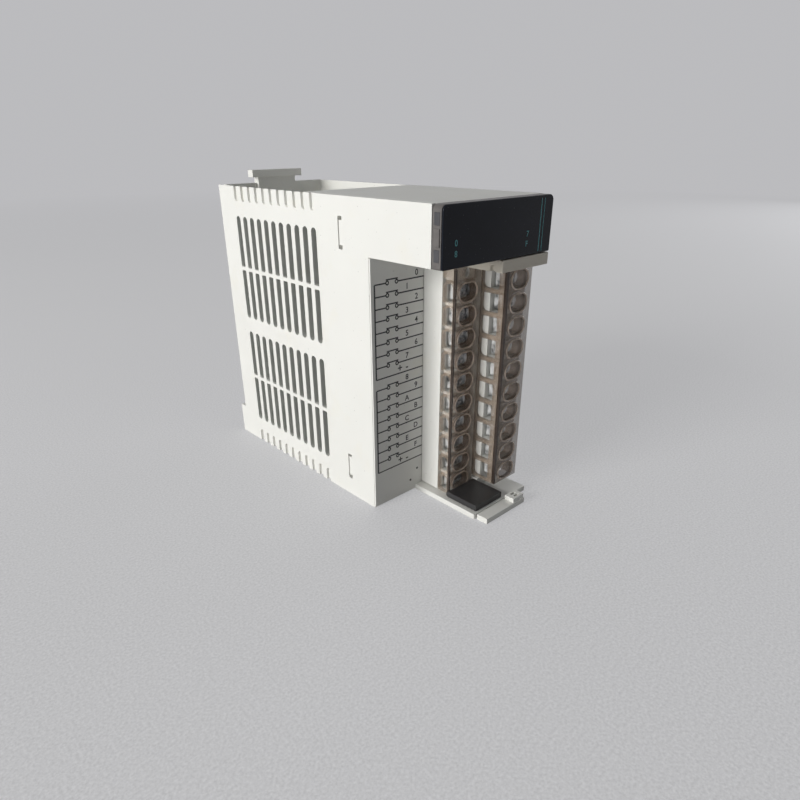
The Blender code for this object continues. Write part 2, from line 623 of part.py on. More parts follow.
def build_front_fittings(ivory, paper):
    shelf_low = (SHELF_LEFT, -SHELF_REACH, 0.0)
    piece("bottom_shelf", blocks((shelf_low, (WIDTH, BLOCK_BACK, SHELF))), ivory)
    lip_left = SHELF_LEFT + LIP_INSET
    lip_right = lip_left + LIP_LENGTH
    lip = piece("front_lip", blocks(((lip_left, LIP_FRONT, 0.0), (lip_right, LIP_BACK, SHELF))), ivory)
    keeper_left = lip_right - KEEPER_LENGTH
    keeper_low = (keeper_left, LIP_FRONT + CLEARANCE, SHELF - CLEARANCE)
    keeper_top = SHELF + KEEPER_RISE
    extend(lip, "keeper", blocks((keeper_low, (lip_right - CLEARANCE, LIP_BACK - CLEARANCE, keeper_top))))
    slots = []
    keeper_x = lip_right - KEEPER_LENGTH / 2
    for y in (LIP_FRONT + LIP_DEPTH / 3, LIP_FRONT + LIP_DEPTH * 2 / 3):
        low = (keeper_x - KEEPER_SLOT_LENGTH / 2, y - KEEPER_SLOT_WIDTH / 2, SHELF)
        high = (keeper_x + KEEPER_SLOT_LENGTH / 2, y + KEEPER_SLOT_WIDTH / 2, keeper_top + OVERSHOOT)
        slots.append((low, high))
    cut(lip, "keeper_slots", blocks(*slots))
    ledge_low = (LEDGE_LEFT, WINDOW_FRONT, LEDGE_BOTTOM)
    ledge_high = (WIDTH, WINDOW_FRONT + LEDGE_DEPTH, HEAD_BOTTOM - CLEARANCE)
    piece("upper_ledge", blocks((ledge_low, ledge_high)), ivory)
    label_low = (LABEL_MARGIN, BLOCK_BACK - LABEL_SHEET, SHELF + LABEL_MARGIN)
    label_high = (LABEL_WIDTH - LABEL_MARGIN, BLOCK_BACK, BLOCK_TOP)
    piece("label_sheet", blocks((label_low, label_high)), paper)


def build_lock_lever(material, steel):
    """A T-shaped lever with a hook at its back, which turns on a pin in the back wall."""
    pivot = (MIDDLE_X, LOCK_Y, LOCK_Z)
    half = LOCK_STEM_WIDTH / 2
    slab_bottom = HEIGHT + LOCK_RISE - LOCK_SLAB_HEIGHT
    stem_low = (MIDDLE_X - half, DEPTH - LOCK_THICKNESS, LOCK_Z - LOCK_TAIL)
    stem_high = (MIDDLE_X + half, DEPTH, slab_bottom + LOCK_SLAB_HEIGHT / 2)
    lever = piece("lock_lever", blocks((stem_low, stem_high)), material, pivot)
    slab_half = LOCK_SLAB_WIDTH / 2
    slab_low = (MIDDLE_X - slab_half, DEPTH - LOCK_THICKNESS - LOCK_SLAB_OVERHANG, slab_bottom)
    slab_high = (MIDDLE_X + slab_half, DEPTH - CLEARANCE, HEIGHT + LOCK_RISE)
    extend(lever, "slab", blocks((slab_low, slab_high)))
    hook_top = HEIGHT - LOCK_HOOK_DROP
    hook_back = DEPTH + LOCK_HOOK_REACH
    hook = [
        (DEPTH - LOCK_THICKNESS / 2, hook_top - LOCK_HOOK_HEIGHT),
        (DEPTH - LOCK_THICKNESS / 2, hook_top),
        (hook_back, hook_top),
        (hook_back, hook_top - LOCK_HOOK_HEIGHT / 2),
    ]
    extend(lever, "hook", prisms([hook], "X", MIDDLE_X - half / 2, MIDDLE_X + half / 2))
    over = half + OVERSHOOT
    bore = prisms([ring((LOCK_Y, LOCK_Z), PIN_RADIUS + PIN_PLAY)], "X", MIDDLE_X - over, MIDDLE_X + over)
    cut(lever, "bore", bore)
    reach = LOCK_NOTCH + PIN_GRIP
    piece("lock_pin", prisms([ring((LOCK_Y, LOCK_Z), PIN_RADIUS)], "X", MIDDLE_X - reach, MIDDLE_X + reach), steel)


def main():
    clear_scene()
    frame = bpy.data.objects.new("module_frame", None)
    frame.location = (-MIDDLE_X, -MIDDLE_Y, 0.0)
    bpy.context.scene.collection.objects.link(frame)
    ivory = principled("ivory plastic", (0.80, 0.79, 0.74), 0.55)
    dark = principled("dark plastic", (0.09, 0.09, 0.10), 0.5)
    smoked = principled("smoked window", (0.012, 0.013, 0.017), 0.25)
    guard = principled("smoked guard", (0.30, 0.25, 0.20), 0.2, alpha=0.5)
    clear = principled("clear plastic", (0.85, 0.86, 0.86), 0.15, alpha=0.6)
    board = principled("circuit board", (0.03, 0.19, 0.08), 0.45)
    chip = principled("chip package", (0.03, 0.03, 0.03), 0.6)
    steel = principled("plated steel", (0.66, 0.67, 0.68), 0.3, metallic=1.0)
    black = principled("black plastic", (0.022, 0.022, 0.024), 0.45)
    paper = principled("label paper", (0.72, 0.72, 0.70), 0.7)
    build_case_tub(ivory)
    build_side_cover(ivory)
    build_display(dark, smoked, clear, board)
    build_electronics(board, dark, chip)
    build_terminal_base(ivory)
    build_guards(guard)
    build_screws(steel)
    build_release_lever(black, steel)
    build_front_fittings(ivory, paper)
    build_lock_lever(ivory, steel)


main()
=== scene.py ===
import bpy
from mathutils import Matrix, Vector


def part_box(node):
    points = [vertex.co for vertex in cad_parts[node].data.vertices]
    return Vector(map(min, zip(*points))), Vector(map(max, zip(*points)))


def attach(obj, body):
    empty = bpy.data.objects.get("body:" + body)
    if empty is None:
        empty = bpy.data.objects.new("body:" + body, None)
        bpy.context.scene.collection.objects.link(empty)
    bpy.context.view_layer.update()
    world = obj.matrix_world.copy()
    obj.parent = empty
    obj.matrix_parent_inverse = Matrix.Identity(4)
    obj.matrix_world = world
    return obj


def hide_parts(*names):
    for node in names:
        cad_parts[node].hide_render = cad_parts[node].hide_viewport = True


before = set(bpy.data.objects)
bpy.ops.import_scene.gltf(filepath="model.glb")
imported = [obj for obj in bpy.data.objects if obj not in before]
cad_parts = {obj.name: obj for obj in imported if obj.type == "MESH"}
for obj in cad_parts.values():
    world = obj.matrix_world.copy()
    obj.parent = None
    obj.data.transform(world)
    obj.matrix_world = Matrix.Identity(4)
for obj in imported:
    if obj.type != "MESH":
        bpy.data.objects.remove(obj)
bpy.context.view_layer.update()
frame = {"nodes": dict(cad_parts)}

import math

import bmesh
import bpy
from bpy.props import FloatProperty, FloatVectorProperty, IntProperty, PointerProperty
from mathutils import Matrix, Vector

bl_info = {
    "name": "Rack input module",
    "version": (1, 0, 0),
    "blender": (4, 5, 0),
    "location": "3D View > Sidebar > Input module",
    "description": "Dresses a plug-in input module: vented case, display head, terminal block and levers",
    "category": "Object",
}

SIDE_LOW, SIDE_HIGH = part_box("side_cover")
TUB_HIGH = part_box("case_tub")[1]
# Case coordinates run from the lower front left corner: x right, y back from the head, z up
ORIGIN = Vector(SIDE_LOW)
# How far a cutter runs past what it cuts
OVER = 0.001
# Corners nearer to each other than this are one corner
SAME_PLACE = 1e-6


def case_box(node):
    """The lowest and highest corner of a solid, in case coordinates."""
    low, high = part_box(node)
    return Vector(low) - ORIGIN, Vector(high) - ORIGIN


def centre_of(node):
    """The middle of a solid's box, in case coordinates."""
    return [sum(pair) / 2 for pair in zip(*case_box(node))]


def length(name, description, default):
    """A length that a user can change."""
    return FloatProperty(name=name, description=description, default=default, unit="LENGTH", precision=5)


def count(name, description, default):
    """A number of pieces that a user can change."""
    return IntProperty(name=name, description=description, default=default, min=1)


def angle(name, description, degrees):
    """An angle that a user can change, here in degrees."""
    default = math.radians(degrees)
    return FloatProperty(name=name, description=description, default=default, subtype="ANGLE")


def colour(name, description, default):
    """A colour that a user can change."""
    return FloatVectorProperty(
        name=name, description=description, default=default, subtype="COLOR", size=3, min=0.0, max=1.0
    )


class CaseSizes(bpy.types.PropertyGroup):
    """Sizes of the case with its vents, grooves and snap slots"""

    wall: length("Wall", "Thickness of the tub's walls", 0.0020)
    gap: length("Gap", "Play between neighbouring pieces", 0.0003)
    head_height: length("Head height", "Height of the display head", 0.0165)
    recess: length("Recess", "How far the wiring front lies behind the head", 0.0257)
    top_plate: length("Top plate", "Depth of the closed part of the top", 0.0580)
    well_depth: length("Well depth", "Depth of the recess behind the top plate", 0.0060)
    foot_reach: length("Foot reach", "How far the feet stand out at the back", 0.0035)
    foot_height: length("Foot height", "Height of the feet", 0.0125)
    edge: length("Edge radius", "Rounding of the moulded edges", 0.00035)
    vent_columns: count("Vent columns", "Columns of vents on a side", 11)
    vent_pitch: length("Vent pitch", "Distance between vent columns", 0.00473)
    vent_from_back: length("Vents from back", "From the back to the last column", 0.0122)
    vent_width: length("Vent width", "Width of a vent", 0.0027)
    vent_length: length("Vent length", "Length of a vent", 0.0185)
    vent_bridge: length("Vent bridge", "Bridge between two vents of a pair", 0.0013)
    vent_corner: length("Vent corner", "Corner radius of a vent beside the bridge", 0.0005)
    vent_middle: length("Vent middle", "Bridge between the two pairs", 0.0057)
    groove_length: length("Groove length", "Length of an edge groove", 0.0052)
    groove_width: length("Groove width", "Width of an edge groove", 0.0024)
    groove_depth: length("Groove depth", "Depth of an edge groove", 0.0009)
    snap_from_front: length("Snap from front", "From the head's front to the snap slots", 0.0387)
    snap_from_top: length("Snap from top", "From the top to the upper snap slot", 0.0107)
    snap_from_bottom: length("Snap from bottom", "From the bottom to the lower snap slot", 0.0115)
    snap_width: length("Snap width", "Width of a snap slot", 0.0020)
    snap_length: length("Snap length", "Length of a snap slot", 0.0098)


class TerminalSizes(bpy.types.PropertyGroup):
    """Sizes of the guards, screws and markings of the terminal block"""

    rows: count("Rows", "Terminals in each column", 10)
    pitch: length("Pitch", "Distance between neighbouring terminals of a column", 0.00762)
    guard_wall: length("Guard wall", "Wall of the finger guards", 0.0013)
    access_width: length("Access width", "Width of a screwdriver opening", 0.0080)
    access_height: length("Access height", "Height of a screwdriver opening", 0.0056)
    collar: length("Sleeve wall", "Wall of the sleeve behind an opening", 0.0004)
    rim: length("Rim", "Thickness of the round rim of an opening", 0.0006)
    entry_height: length("Wire entry height", "Height of a wire opening in a guard's side", 0.0061)
    head_radius: length("Screw head", "Radius of a screw head", 0.0024)
    head_height: length("Head height", "Height of a screw head", 0.0018)
    plate: length("Clamp plate", "Width of a square clamp plate", 0.0060)
    plate_thickness: length("Plate thickness", "Thickness of a clamp plate", 0.0008)
    tab_rise: length("Tab rise", "Height of the upturned sides of a clamp plate", 0.0024)
    shank_radius: length("Shank", "Radius of a screw's shank", 0.0015)
    shank_length: length("Shank length", "Length of a screw's shank", 0.0045)
    line_width: length("Line width", "Width of a printed line", 0.00042)
    ink: length("Ink", "Thickness of the print", 0.00004)
    digit_height: length("Digit height", "Height of the printed digits", 0.0019)


class ModuleColours(bpy.types.PropertyGroup):
    """Colours of the finishes"""

    ivory: colour("Ivory", "Moulded case plastic", (0.80, 0.80, 0.765))
    window: colour("Window", "Smoked display window", (0.0060, 0.0078, 0.0130))
    frame: colour("Frame", "Translucent frame behind the window", (0.135, 0.125, 0.120))
    guard: colour("Guard", "Smoked finger guards", (0.56, 0.435, 0.330))
    guard_edge: colour("Guard edges", "Thick edges of the guards", (0.050, 0.036, 0.030))
    # The dark funnel colour is painted shade inside the screwdriver openings
    funnel: colour("Funnels", "Funnels behind the screwdriver openings", (0.270, 0.200, 0.152))
    # The rim colour is lighter than the guard: painted highlight on the rims
    rim: colour("Rims", "Rims of the screwdriver openings", (0.72, 0.60, 0.51))
    steel: colour("Steel", "Plated screws and plates", (0.84, 0.85, 0.86))
    black: colour("Black", "Release lever", (0.034, 0.033, 0.034))
    ink: colour("Ink", "Wiring diagram print", (0.030, 0.030, 0.032))
    teal: colour("Teal", "Display print", (0.05, 0.24, 0.26))
    board: colour("Board", "Solder mask of the boards", (0.025, 0.15, 0.065))
    chip: colour("Chip", "Moulded chip packages", (0.028, 0.028, 0.030))
    socket: colour("Connector", "Connector housings", (0.045, 0.045, 0.050))
    gold: colour("Contacts", "Gilded contacts", (0.86, 0.64, 0.30))


class StageSettings(bpy.types.PropertyGroup):
    """Floor, light and camera"""

    floor: colour("Floor", "Floor colour", (0.60, 0.60, 0.61))
    backdrop: colour("Backdrop", "Colour beyond the floor", (0.50, 0.50, 0.515))
    floor_glow: colour("Floor glow", "Own tone of the floor as the camera sees it", (0.70, 0.70, 0.715))
    ambient: FloatProperty(
        name="Ambient", description="Strength of the surrounding light", default=0.185, min=0.0
    )
    key: FloatProperty(
        name="Key", description="Power of the key lamp", default=16.4, min=0.0, subtype="POWER"
    )
    fill: FloatProperty(
        name="Fill", description="Power of the fill lamp, as a share of the key lamp", default=0.28, min=0.0
    )
    azimuth: angle("Azimuth", "Turn of the camera", 42.89)
    elevation: angle("Elevation", "Downward tilt of the camera", 25.41)
    roll: angle("Roll", "Roll of the camera", -0.30)
    place: FloatVectorProperty(
        name="Place",
        description="Place of the camera",
        default=(-0.14192, -0.16816, 0.11733),
        size=3,
        subtype="TRANSLATION",
    )
    lens: FloatProperty(name="Lens", description="Focal length in millimetres", default=27.342, min=1.0)
    rise: FloatProperty(name="Rise", description="Vertical shift of the lens", default=0.0375)


class Value:
    """A node's output that takes part in Python expressions."""

    def __init__(self, graph, socket):
        self.graph = graph
        self.socket = socket

    def _math(self, operation, first, second):
        return self.graph.node("ShaderNodeMath", {"operation": operation}, {0: first, 1: second})

    def __add__(self, other):
        return self._math("ADD", self, other)

    def __radd__(self, other):
        return self._math("ADD", other, self)

    def __sub__(self, other):
        return self._math("SUBTRACT", self, other)

    def __rsub__(self, other):
        return self._math("SUBTRACT", other, self)

    def __mul__(self, other):
        return self._math("MULTIPLY", self, other)

    def __rmul__(self, other):
        return self._math("MULTIPLY", other, self)


class Graph:
    """A node tree that grows by one node for each call."""

    def __init__(self, tree):
        self.tree = tree

    def node(self, kind, settings=None, values=None, output=0):
        """Adds a node: its settings first, then the values or links of its sockets."""
        made = self.tree.nodes.new(kind)
        for name, setting in (settings or {}).items():
            setattr(made, name, setting)
        for key, value in (values or {}).items():
            if isinstance(value, Value):
                self.tree.links.new(value.socket, made.inputs[key])
            else:
                made.inputs[key].default_value = value
        return Value(self, made.outputs[output]) if made.outputs else made


class Paint(Graph):
    """A surface finish on Object coordinates."""

    def __init__(self, name):
        self.material = bpy.data.materials.new(name)
        self.material.use_nodes = True
        super().__init__(self.material.node_tree)
        self.tree.nodes.clear()
        self.place = self.node("ShaderNodeTexCoord", output="Object")

    def noise(self, scale, detail=2.0, rough=0.5, stretch=(1.0, 1.0, 1.0)):
        """Noise of a scale in cells to the metre, stretched along the axes if need be."""
        where = self.place
        if stretch != (1.0, 1.0, 1.0):
            where = self.node("ShaderNodeMapping", None, {"Vector": self.place, "Scale": stretch})
        values = {"Vector": where, "Scale": scale, "Detail": detail, "Roughness": rough}
        return self.node("ShaderNodeTexNoise", None, values)

    def span(self, value, low, high, to_low=0.0, to_high=1.0):
        """Moves a value from one range to another and holds it there."""
        values = {"Value": value, "From Min": low, "From Max": high, "To Min": to_low, "To Max": to_high}
        return self.node("ShaderNodeMapRange", None, values)

    def blend(self, factor, first, second):
        """Mixes two colours, each a value or three numbers."""
        first, second = (tone if isinstance(tone, Value) else (*tone, 1.0) for tone in (first, second))
        return self.node("ShaderNodeMix", {"data_type": "RGBA"}, {0: factor, 6: first, 7: second}, output=2)

    def bump(self, height, strength, distance):
        values = {"Strength": strength, "Distance": distance, "Height": height}
        return self.node("ShaderNodeBump", None, values)

    def surface(self, **sockets):
        """Closes the finish with one surface shader; names use _ for a space."""
        values = {}
        for key, value in sockets.items():
            name = key.replace("_", " ").title().replace("Ior", "IOR")
            values[name] = value
        shader = self.node("ShaderNodeBsdfPrincipled", None, values)
        self.node("ShaderNodeOutputMaterial", None, {"Surface": shader})
        return self.material


def tinted(tone, factor):
    """A lighter or darker shade of a colour."""
    return tuple(min(1.0, part * factor) for part in tone)


def moulded_ivory(tones, name="ivory plastic", shade=1.0, yellowing=0.0):
    """Aged moulded plastic: cloudy tone, fine grain, a few dark specks and rubbed patches."""
    paint = Paint(name)
    fresh = tinted(tones.ivory, shade)
    base = (fresh[0], fresh[1] * (1.0 - 0.4 * yellowing), fresh[2] * (1.0 - yellowing))
    clouds = paint.span(paint.noise(34.0, 3.0), 0.35, 0.68)
    tone = paint.blend(clouds, tinted(base, 0.975), base)
    warm = (base[0] * 0.97, base[1] * 0.945, base[2] * 0.87)
    tone = paint.blend(paint.span(paint.noise(85.0, 4.0, 0.6), 0.56, 0.80, 0.0, 0.45), tone, warm)
    specks = paint.span(paint.noise(1150.0, 1.0), 0.76, 0.82, 0.0, 0.5)
    tone = paint.blend(specks, tone, tinted(base, 0.42))
    grain = paint.noise(4200.0, 2.0)
    rubbed = paint.noise(60.0, 5.0, 0.65)
    rough = 0.43 + 0.16 * rubbed + 0.06 * grain
    height = grain * 0.6 + paint.noise(900.0, 2.0) * 0.4
    normal = paint.bump(height, 0.22, 0.00006)
    return paint.surface(base_color=tone, roughness=rough, normal=normal, specular_ior_level=0.45)


def smoked_glass(tones):
    """The near-black window: glossy, with faint smears and dust."""
    paint = Paint("smoked window")
    smear = paint.span(paint.noise(70.0, 3.0, 0.5, (1.0, 1.0, 2.0)), 0.3, 0.75)
    dust = paint.span(paint.noise(2400.0, 1.0), 0.76, 0.82)
    tone = paint.blend(smear, tones.window, tinted(tones.window, 1.35))
    tone = paint.blend(dust * 0.4, tone, (0.12, 0.12, 0.12))
    rough = 0.17 + 0.06 * smear + 0.2 * dust
    normal = paint.bump(paint.noise(500.0, 2.0), 0.05, 0.00005)
    return paint.surface(base_color=tone, roughness=rough, normal=normal, specular_ior_level=0.16)


def frame_plastic(tones):
    """The grey-brown frame: a little cloudy, with moulding grain."""
    paint = Paint("frame plastic")
    clouds = paint.span(paint.noise(220.0, 3.0), 0.35, 0.7)
    tone = paint.blend(clouds, tinted(tones.frame, 0.78), tinted(tones.frame, 1.15))
    grain = paint.noise(3600.0, 2.0)
    normal = paint.bump(grain, 0.18, 0.00005)
    return paint.surface(base_color=tone, roughness=0.30 + 0.18 * grain, normal=normal)


def smoked_guard(tones, name="smoked guard", shade=1.0, cover=0.27):
    """Brown see-through guard plastic with scuffs that catch the light."""
    paint = Paint(name)
    base = tinted(tones.guard, shade)
    clouds = paint.span(paint.noise(160.0, 3.0), 0.3, 0.75)
    tone = paint.blend(clouds, tinted(base, 0.82), tinted(base, 1.18))
    scuffs = paint.span(paint.noise(700.0, 4.0, 0.7, (1.0, 1.0, 0.3)), 0.60, 0.76)
    tone = paint.blend(scuffs * 0.3, tone, tinted(base, 1.8))
    rough = 0.16 + 0.28 * scuffs
    normal = paint.bump(paint.noise(1500.0, 2.0), 0.08, 0.00005)
    alpha = cover + 0.10 * scuffs
    return paint.surface(base_color=tone, roughness=rough, normal=normal, alpha=alpha, coat_weight=0.3)


def guard_rims(tones):
    """The rounded rims of the guard's openings, lighter than the guard as painted highlight."""
    paint = Paint("guard rims")
    clouds = paint.span(paint.noise(420.0, 3.0), 0.3, 0.75)
    tone = paint.blend(clouds, tinted(tones.rim, 0.70), tinted(tones.rim, 1.20))
    normal = paint.bump(clouds, 0.08, 0.00005)
    rough = 0.14 + 0.16 * clouds
    alpha = 0.55 + 0.25 * clouds
    return paint.surface(base_color=tone, roughness=rough, normal=normal, alpha=alpha)


def thick_plastic(name, tone, alpha):
    """Dark, nearly opaque and glossy guard plastic: dark where it is thick, and in the funnels dark as
    painted shade inside the openings.
    """
    paint = Paint(name)
    clouds = paint.span(paint.noise(260.0, 3.0), 0.3, 0.75)
    shade = paint.blend(clouds, tinted(tone, 0.75), tinted(tone, 1.3))
    normal = paint.bump(clouds, 0.06, 0.00005)
    return paint.surface(base_color=shade, roughness=0.12 + 0.16 * clouds, normal=normal, alpha=alpha)


def plated_steel(tones):
    """Bright zinc plate with turning marks, and darker, rougher patches painted as reflection of dark
    surroundings.
    """
    paint = Paint("plated steel")
    reflection_patches = paint.span(paint.noise(900.0, 4.0, 0.65), 0.42, 0.66)
    # Darker patches: painted reflection of the dark surroundings; they are also rougher
    tone = paint.blend(reflection_patches, tones.steel, tinted(tones.steel, 0.38))
    marks = paint.noise(5200.0, 2.0, 0.6, (1.0, 0.2, 1.0))
    rough = 0.20 + 0.22 * reflection_patches + 0.08 * marks
    normal = paint.bump(marks, 0.20, 0.00004)
    return paint.surface(base_color=tone, roughness=rough, metallic=0.72 + 0.28 * reflection_patches, normal=normal)


def clamp_steel(tones):
    """Pressed clamp plates: zinc with bright and dark patches painted as highlights and reflections, that
    takes the light broadly.
    """
    paint = Paint("clamp steel")
    patches = paint.span(paint.noise(620.0, 3.0, 0.6, (1.0, 1.0, 0.6)), 0.44, 0.64)
    # Bright and dark patches: painted highlights and reflections
    tone = paint.blend(patches, tinted(tones.steel, 1.15), tinted(tones.steel, 0.30))
    normal = paint.bump(patches, 0.35, 0.00012)
    rough = 0.24 + 0.14 * patches
    metallic = 0.40 + 0.55 * patches
    return paint.surface(base_color=tone, roughness=rough, metallic=metallic, normal=normal)


def lever_black(tones):
    """Black lever plastic with greyed, rubbed patches."""
    paint = Paint("black plastic")
    rubbed = paint.span(paint.noise(420.0, 5.0, 0.65), 0.46, 0.74)
    tone = paint.blend(rubbed * 0.55, tones.black, (0.075, 0.072, 0.070))
    grain = paint.noise(3800.0, 2.0)
    normal = paint.bump(grain, 0.25, 0.00006)
    return paint.surface(base_color=tone, roughness=0.34 + 0.22 * rubbed, normal=normal)


def printed_ink(name, tone):
    """Screen print with a slightly broken film."""
    paint = Paint(name)
    worn = paint.span(paint.noise(1700.0, 3.0, 0.6), 0.55, 0.78)
    shade = paint.blend(worn * 0.5, tone, tinted([part + 0.06 for part in tone], 1.6))
    return paint.surface(base_color=shade, roughness=0.42 + 0.2 * worn, normal=paint.bump(worn, 0.1, 0.00002))


def solder_mask(tones):
    """Green boards with a weave and lighter traces."""
    paint = Paint("circuit board")
    cells = {"Vector": paint.place, "Scale": 520.0}
    traces = paint.node("ShaderNodeTexVoronoi", {"distance": "MANHATTAN"}, cells)
    line = paint.span(traces, 0.30, 0.36)
    weave = paint.noise(2600.0, 2.0)
    tone = paint.blend(line, tinted(tones.board, 1.55), tones.board)
    normal = paint.bump(line * 0.7 + weave * 0.3, 0.25, 0.00008)
    return paint.surface(base_color=tone, roughness=0.30 + 0.15 * weave, normal=normal)


def housing_plastic(name, tone):
    """Dark housings and chip packages with a sandy grain."""
    paint = Paint(name)
    clouds = paint.span(paint.noise(300.0, 3.0), 0.3, 0.7)
    grain = paint.noise(4600.0, 2.0)
    shade = paint.blend(clouds, tinted(tone, 0.85), tinted(tone, 1.35))
    rough = 0.48 + 0.16 * grain
    return paint.surface(base_color=shade, roughness=rough, normal=paint.bump(grain, 0.35, 0.00006))


def gilded(tones):
    """Gilded contacts with wiping marks."""
    paint = Paint("gilded contacts")
    wipe = paint.noise(1800.0, 3.0, 0.6, (1.0, 0.15, 1.0))
    tone = paint.blend(paint.span(wipe, 0.4, 0.7), tones.gold, tinted(tones.gold, 0.72))
    rough = 0.18 + 0.2 * wipe
    normal = paint.bump(wipe, 0.1, 0.00003)
    return paint.surface(base_color=tone, roughness=rough, metallic=1.0, normal=normal)


def clear_guide(tones):
    """Clear light guide, frosted a little."""
    paint = Paint("clear plastic")
    frost = paint.noise(900.0, 3.0)
    tone = paint.blend(frost, (0.62, 0.64, 0.64), (0.80, 0.82, 0.82))
    normal = paint.bump(frost, 0.1, 0.00005)
    return paint.surface(base_color=tone, roughness=0.10 + 0.2 * frost, normal=normal, alpha=0.45)


# Short names of the finishes, each made from the module's colours
FINISHES = {
    "ivory": moulded_ivory,
    "label": lambda tones: moulded_ivory(tones, "label sheet", 0.97),
    # Ledge finish: the 0.72 darkening is painted shade of its front face; the warm tint is the plastic's own
    # yellowing
    "shaded_yellowed": lambda tones: moulded_ivory(tones, "yellowed plastic", 0.72, 0.16),
    "window": smoked_glass,
    "frame": frame_plastic,
    "guard": smoked_guard,
    "deep_guard": lambda tones: smoked_guard(tones, "deep smoked guard", 0.60, 0.48),
    # Rims: lighter colour is painted highlight
    "rim": guard_rims,
    "edge": lambda tones: thick_plastic("guard edges", tones.guard_edge, 0.85),
    # Funnels: dark colour is painted shade inside the openings
    "funnel": lambda tones: thick_plastic("funnel plastic", tones.funnel, 0.50),
    "steel": plated_steel,
    "clamp": clamp_steel,
    "black": lever_black,
    "ink": lambda tones: printed_ink("diagram print", tones.ink),
    "teal": lambda tones: printed_ink("display print", tones.teal),
    "board": solder_mask,
    "chip": lambda tones: housing_plastic("chip package", tones.chip),
    "socket": lambda tones: housing_plastic("connector plastic", tones.socket),
    "gold": gilded,
    "clear": clear_guide,
}
MADE = {}


def finish_of(name):
    """A finish by its short name, made when it is first asked for."""
    if name not in MADE:
        MADE[name] = FINISHES[name](bpy.context.scene.module_colours)
    return MADE[name]


# How a point of an outline and a place along an axis make a corner
PLACE = {
    "X": lambda a, b, along: (along, a, b),
    "Y": lambda a, b, along: (a, along, b),
    "Z": lambda a, b, along: (a, b, along),
}


def round_outline(centre, radius, sides=28):
    """A circle as a polygon."""
    turns = [math.tau * i / sides for i in range(sides)]
    return [(centre[0] + radius * math.cos(t), centre[1] + radius * math.sin(t)) for t in turns]


def slot_outline(centre, length_a, length_b, steps=8):
    """A round-ended slot, longer along its first or its second axis."""
    radius = min(length_a, length_b) / 2
    reach_a = length_a / 2 - radius
    reach_b = length_b / 2 - radius
    start = 0.0 if reach_b > reach_a else -math.pi / 2
    outline = []
    for end in (1, -1):
        for i in range(steps + 1):
            turn = start + math.pi * i / steps
            a = centre[0] + end * (reach_a + radius * math.cos(turn))
            b = centre[1] + end * (reach_b + radius * math.sin(turn))
            outline.append((a, b))
    return outline


def filleted(low, high, radii, steps=5):
    """A rectangle whose corners, from the lower left round to the upper left, have their own radii."""
    corners = [(low[0], low[1], 180), (high[0], low[1], 270), (high[0], high[1], 0), (low[0], high[1], 90)]
    outline = []
    for (a, b, first), radius in zip(corners, radii):
        if not radius:
            outline.append((a, b))
            continue
        mid_a = a + (radius if a == low[0] else -radius)
        mid_b = b + (radius if b == low[1] else -radius)
        for i in range(steps + 1):
            turn = math.radians(first + 90 * i / steps)
            outline.append((mid_a + radius * math.cos(turn), mid_b + radius * math.sin(turn)))
    return outline


def span_rings(bm, near, far):
    """Adds the closed shape between two rings of as many corners."""
    near = [bm.verts.new(corner) for corner in near]
    far = [bm.verts.new(corner) for corner in far]
    bm.faces.new(near)
    bm.faces.new(far[::-1])
    for i, corner in enumerate(near):
        bm.faces.new((near[i - 1], corner, far[i], far[i - 1]))


def prisms(outlines, axis, start, end, bm=None):
    """Outlines, given in the other two axes, each extruded along one axis."""
    bm = bm or bmesh.new()
    place = PLACE[axis]
    for outline in outlines:
        span_rings(bm, [place(a, b, start) for a, b in outline], [place(a, b, end) for a, b in outline])
    return bm


def tapered(front, rear, start, end):
    """A closed shape between two outlines of as many points, along the y axis."""
    bm = bmesh.new()
    span_rings(bm, [(a, start, b) for a, b in front], [(a, end, b) for a, b in rear])
    return bm


def blocks(*corners, bm=None):
    """Separate blocks, each given by its low and high corner."""
    bm = bm or bmesh.new()
    for low, high in corners:
        outline = [(low[0], low[1]), (high[0], low[1]), (high[0], high[1]), (low[0], high[1])]
        prisms([outline], "Z", low[2], high[2], bm)
    return bm


def turned(profile):
    """A profile of (radius, y) points turned about the y axis, closed at both ends."""
    bm = bmesh.new()
    rings = []
    for radius, y in profile:
        rings.append([bm.verts.new((a, y, b)) for a, b in round_outline((0.0, 0.0), radius)])
    bm.faces.new(rings[0])
    bm.faces.new(rings[-1][::-1])
    for lower, upper in zip(rings, rings[1:]):
        for i, corner in enumerate(lower):
            bm.faces.new((lower[i - 1], corner, upper[i], upper[i - 1]))
    return bm


def add_object(name, data):
    """A new object in the scene."""
    obj = bpy.data.objects.new(name, data)
    bpy.context.scene.collection.objects.link(obj)
    return obj


def shape_object(name, bm):
    """A new object that takes over a shape."""
    mesh = bpy.data.meshes.new(name)
    bm.to_mesh(mesh)
    bm.free()
    return add_object(name, mesh)


def solid(name, bm):
    """A new object that holds this closed shape, in case coordinates."""
    bmesh.ops.recalc_face_normals(bm, faces=bm.faces)
    return shape_object(name, bm)


def plain_mesh(obj):
    """The mesh of an object with its modifiers applied."""
    bpy.context.view_layer.update()
    graph = bpy.context.evaluated_depsgraph_get()
    return bpy.data.meshes.new_from_object(obj.evaluated_get(graph), depsgraph=graph)


def flatten(obj):
    """Turns an object with its modifiers into one plain mesh."""
    mesh = plain_mesh(obj)
    old = obj.data
    obj.modifiers.clear()
    obj.data = mesh
    bpy.data.meshes.remove(old)
    if not mesh.polygons:
        raise RuntimeError(f"{obj.name} came out empty")
    return obj


def discard(obj):
    """Removes an object and its mesh."""
    data = obj.data
    bpy.data.objects.remove(obj, do_unlink=True)
    bpy.data.meshes.remove(data)


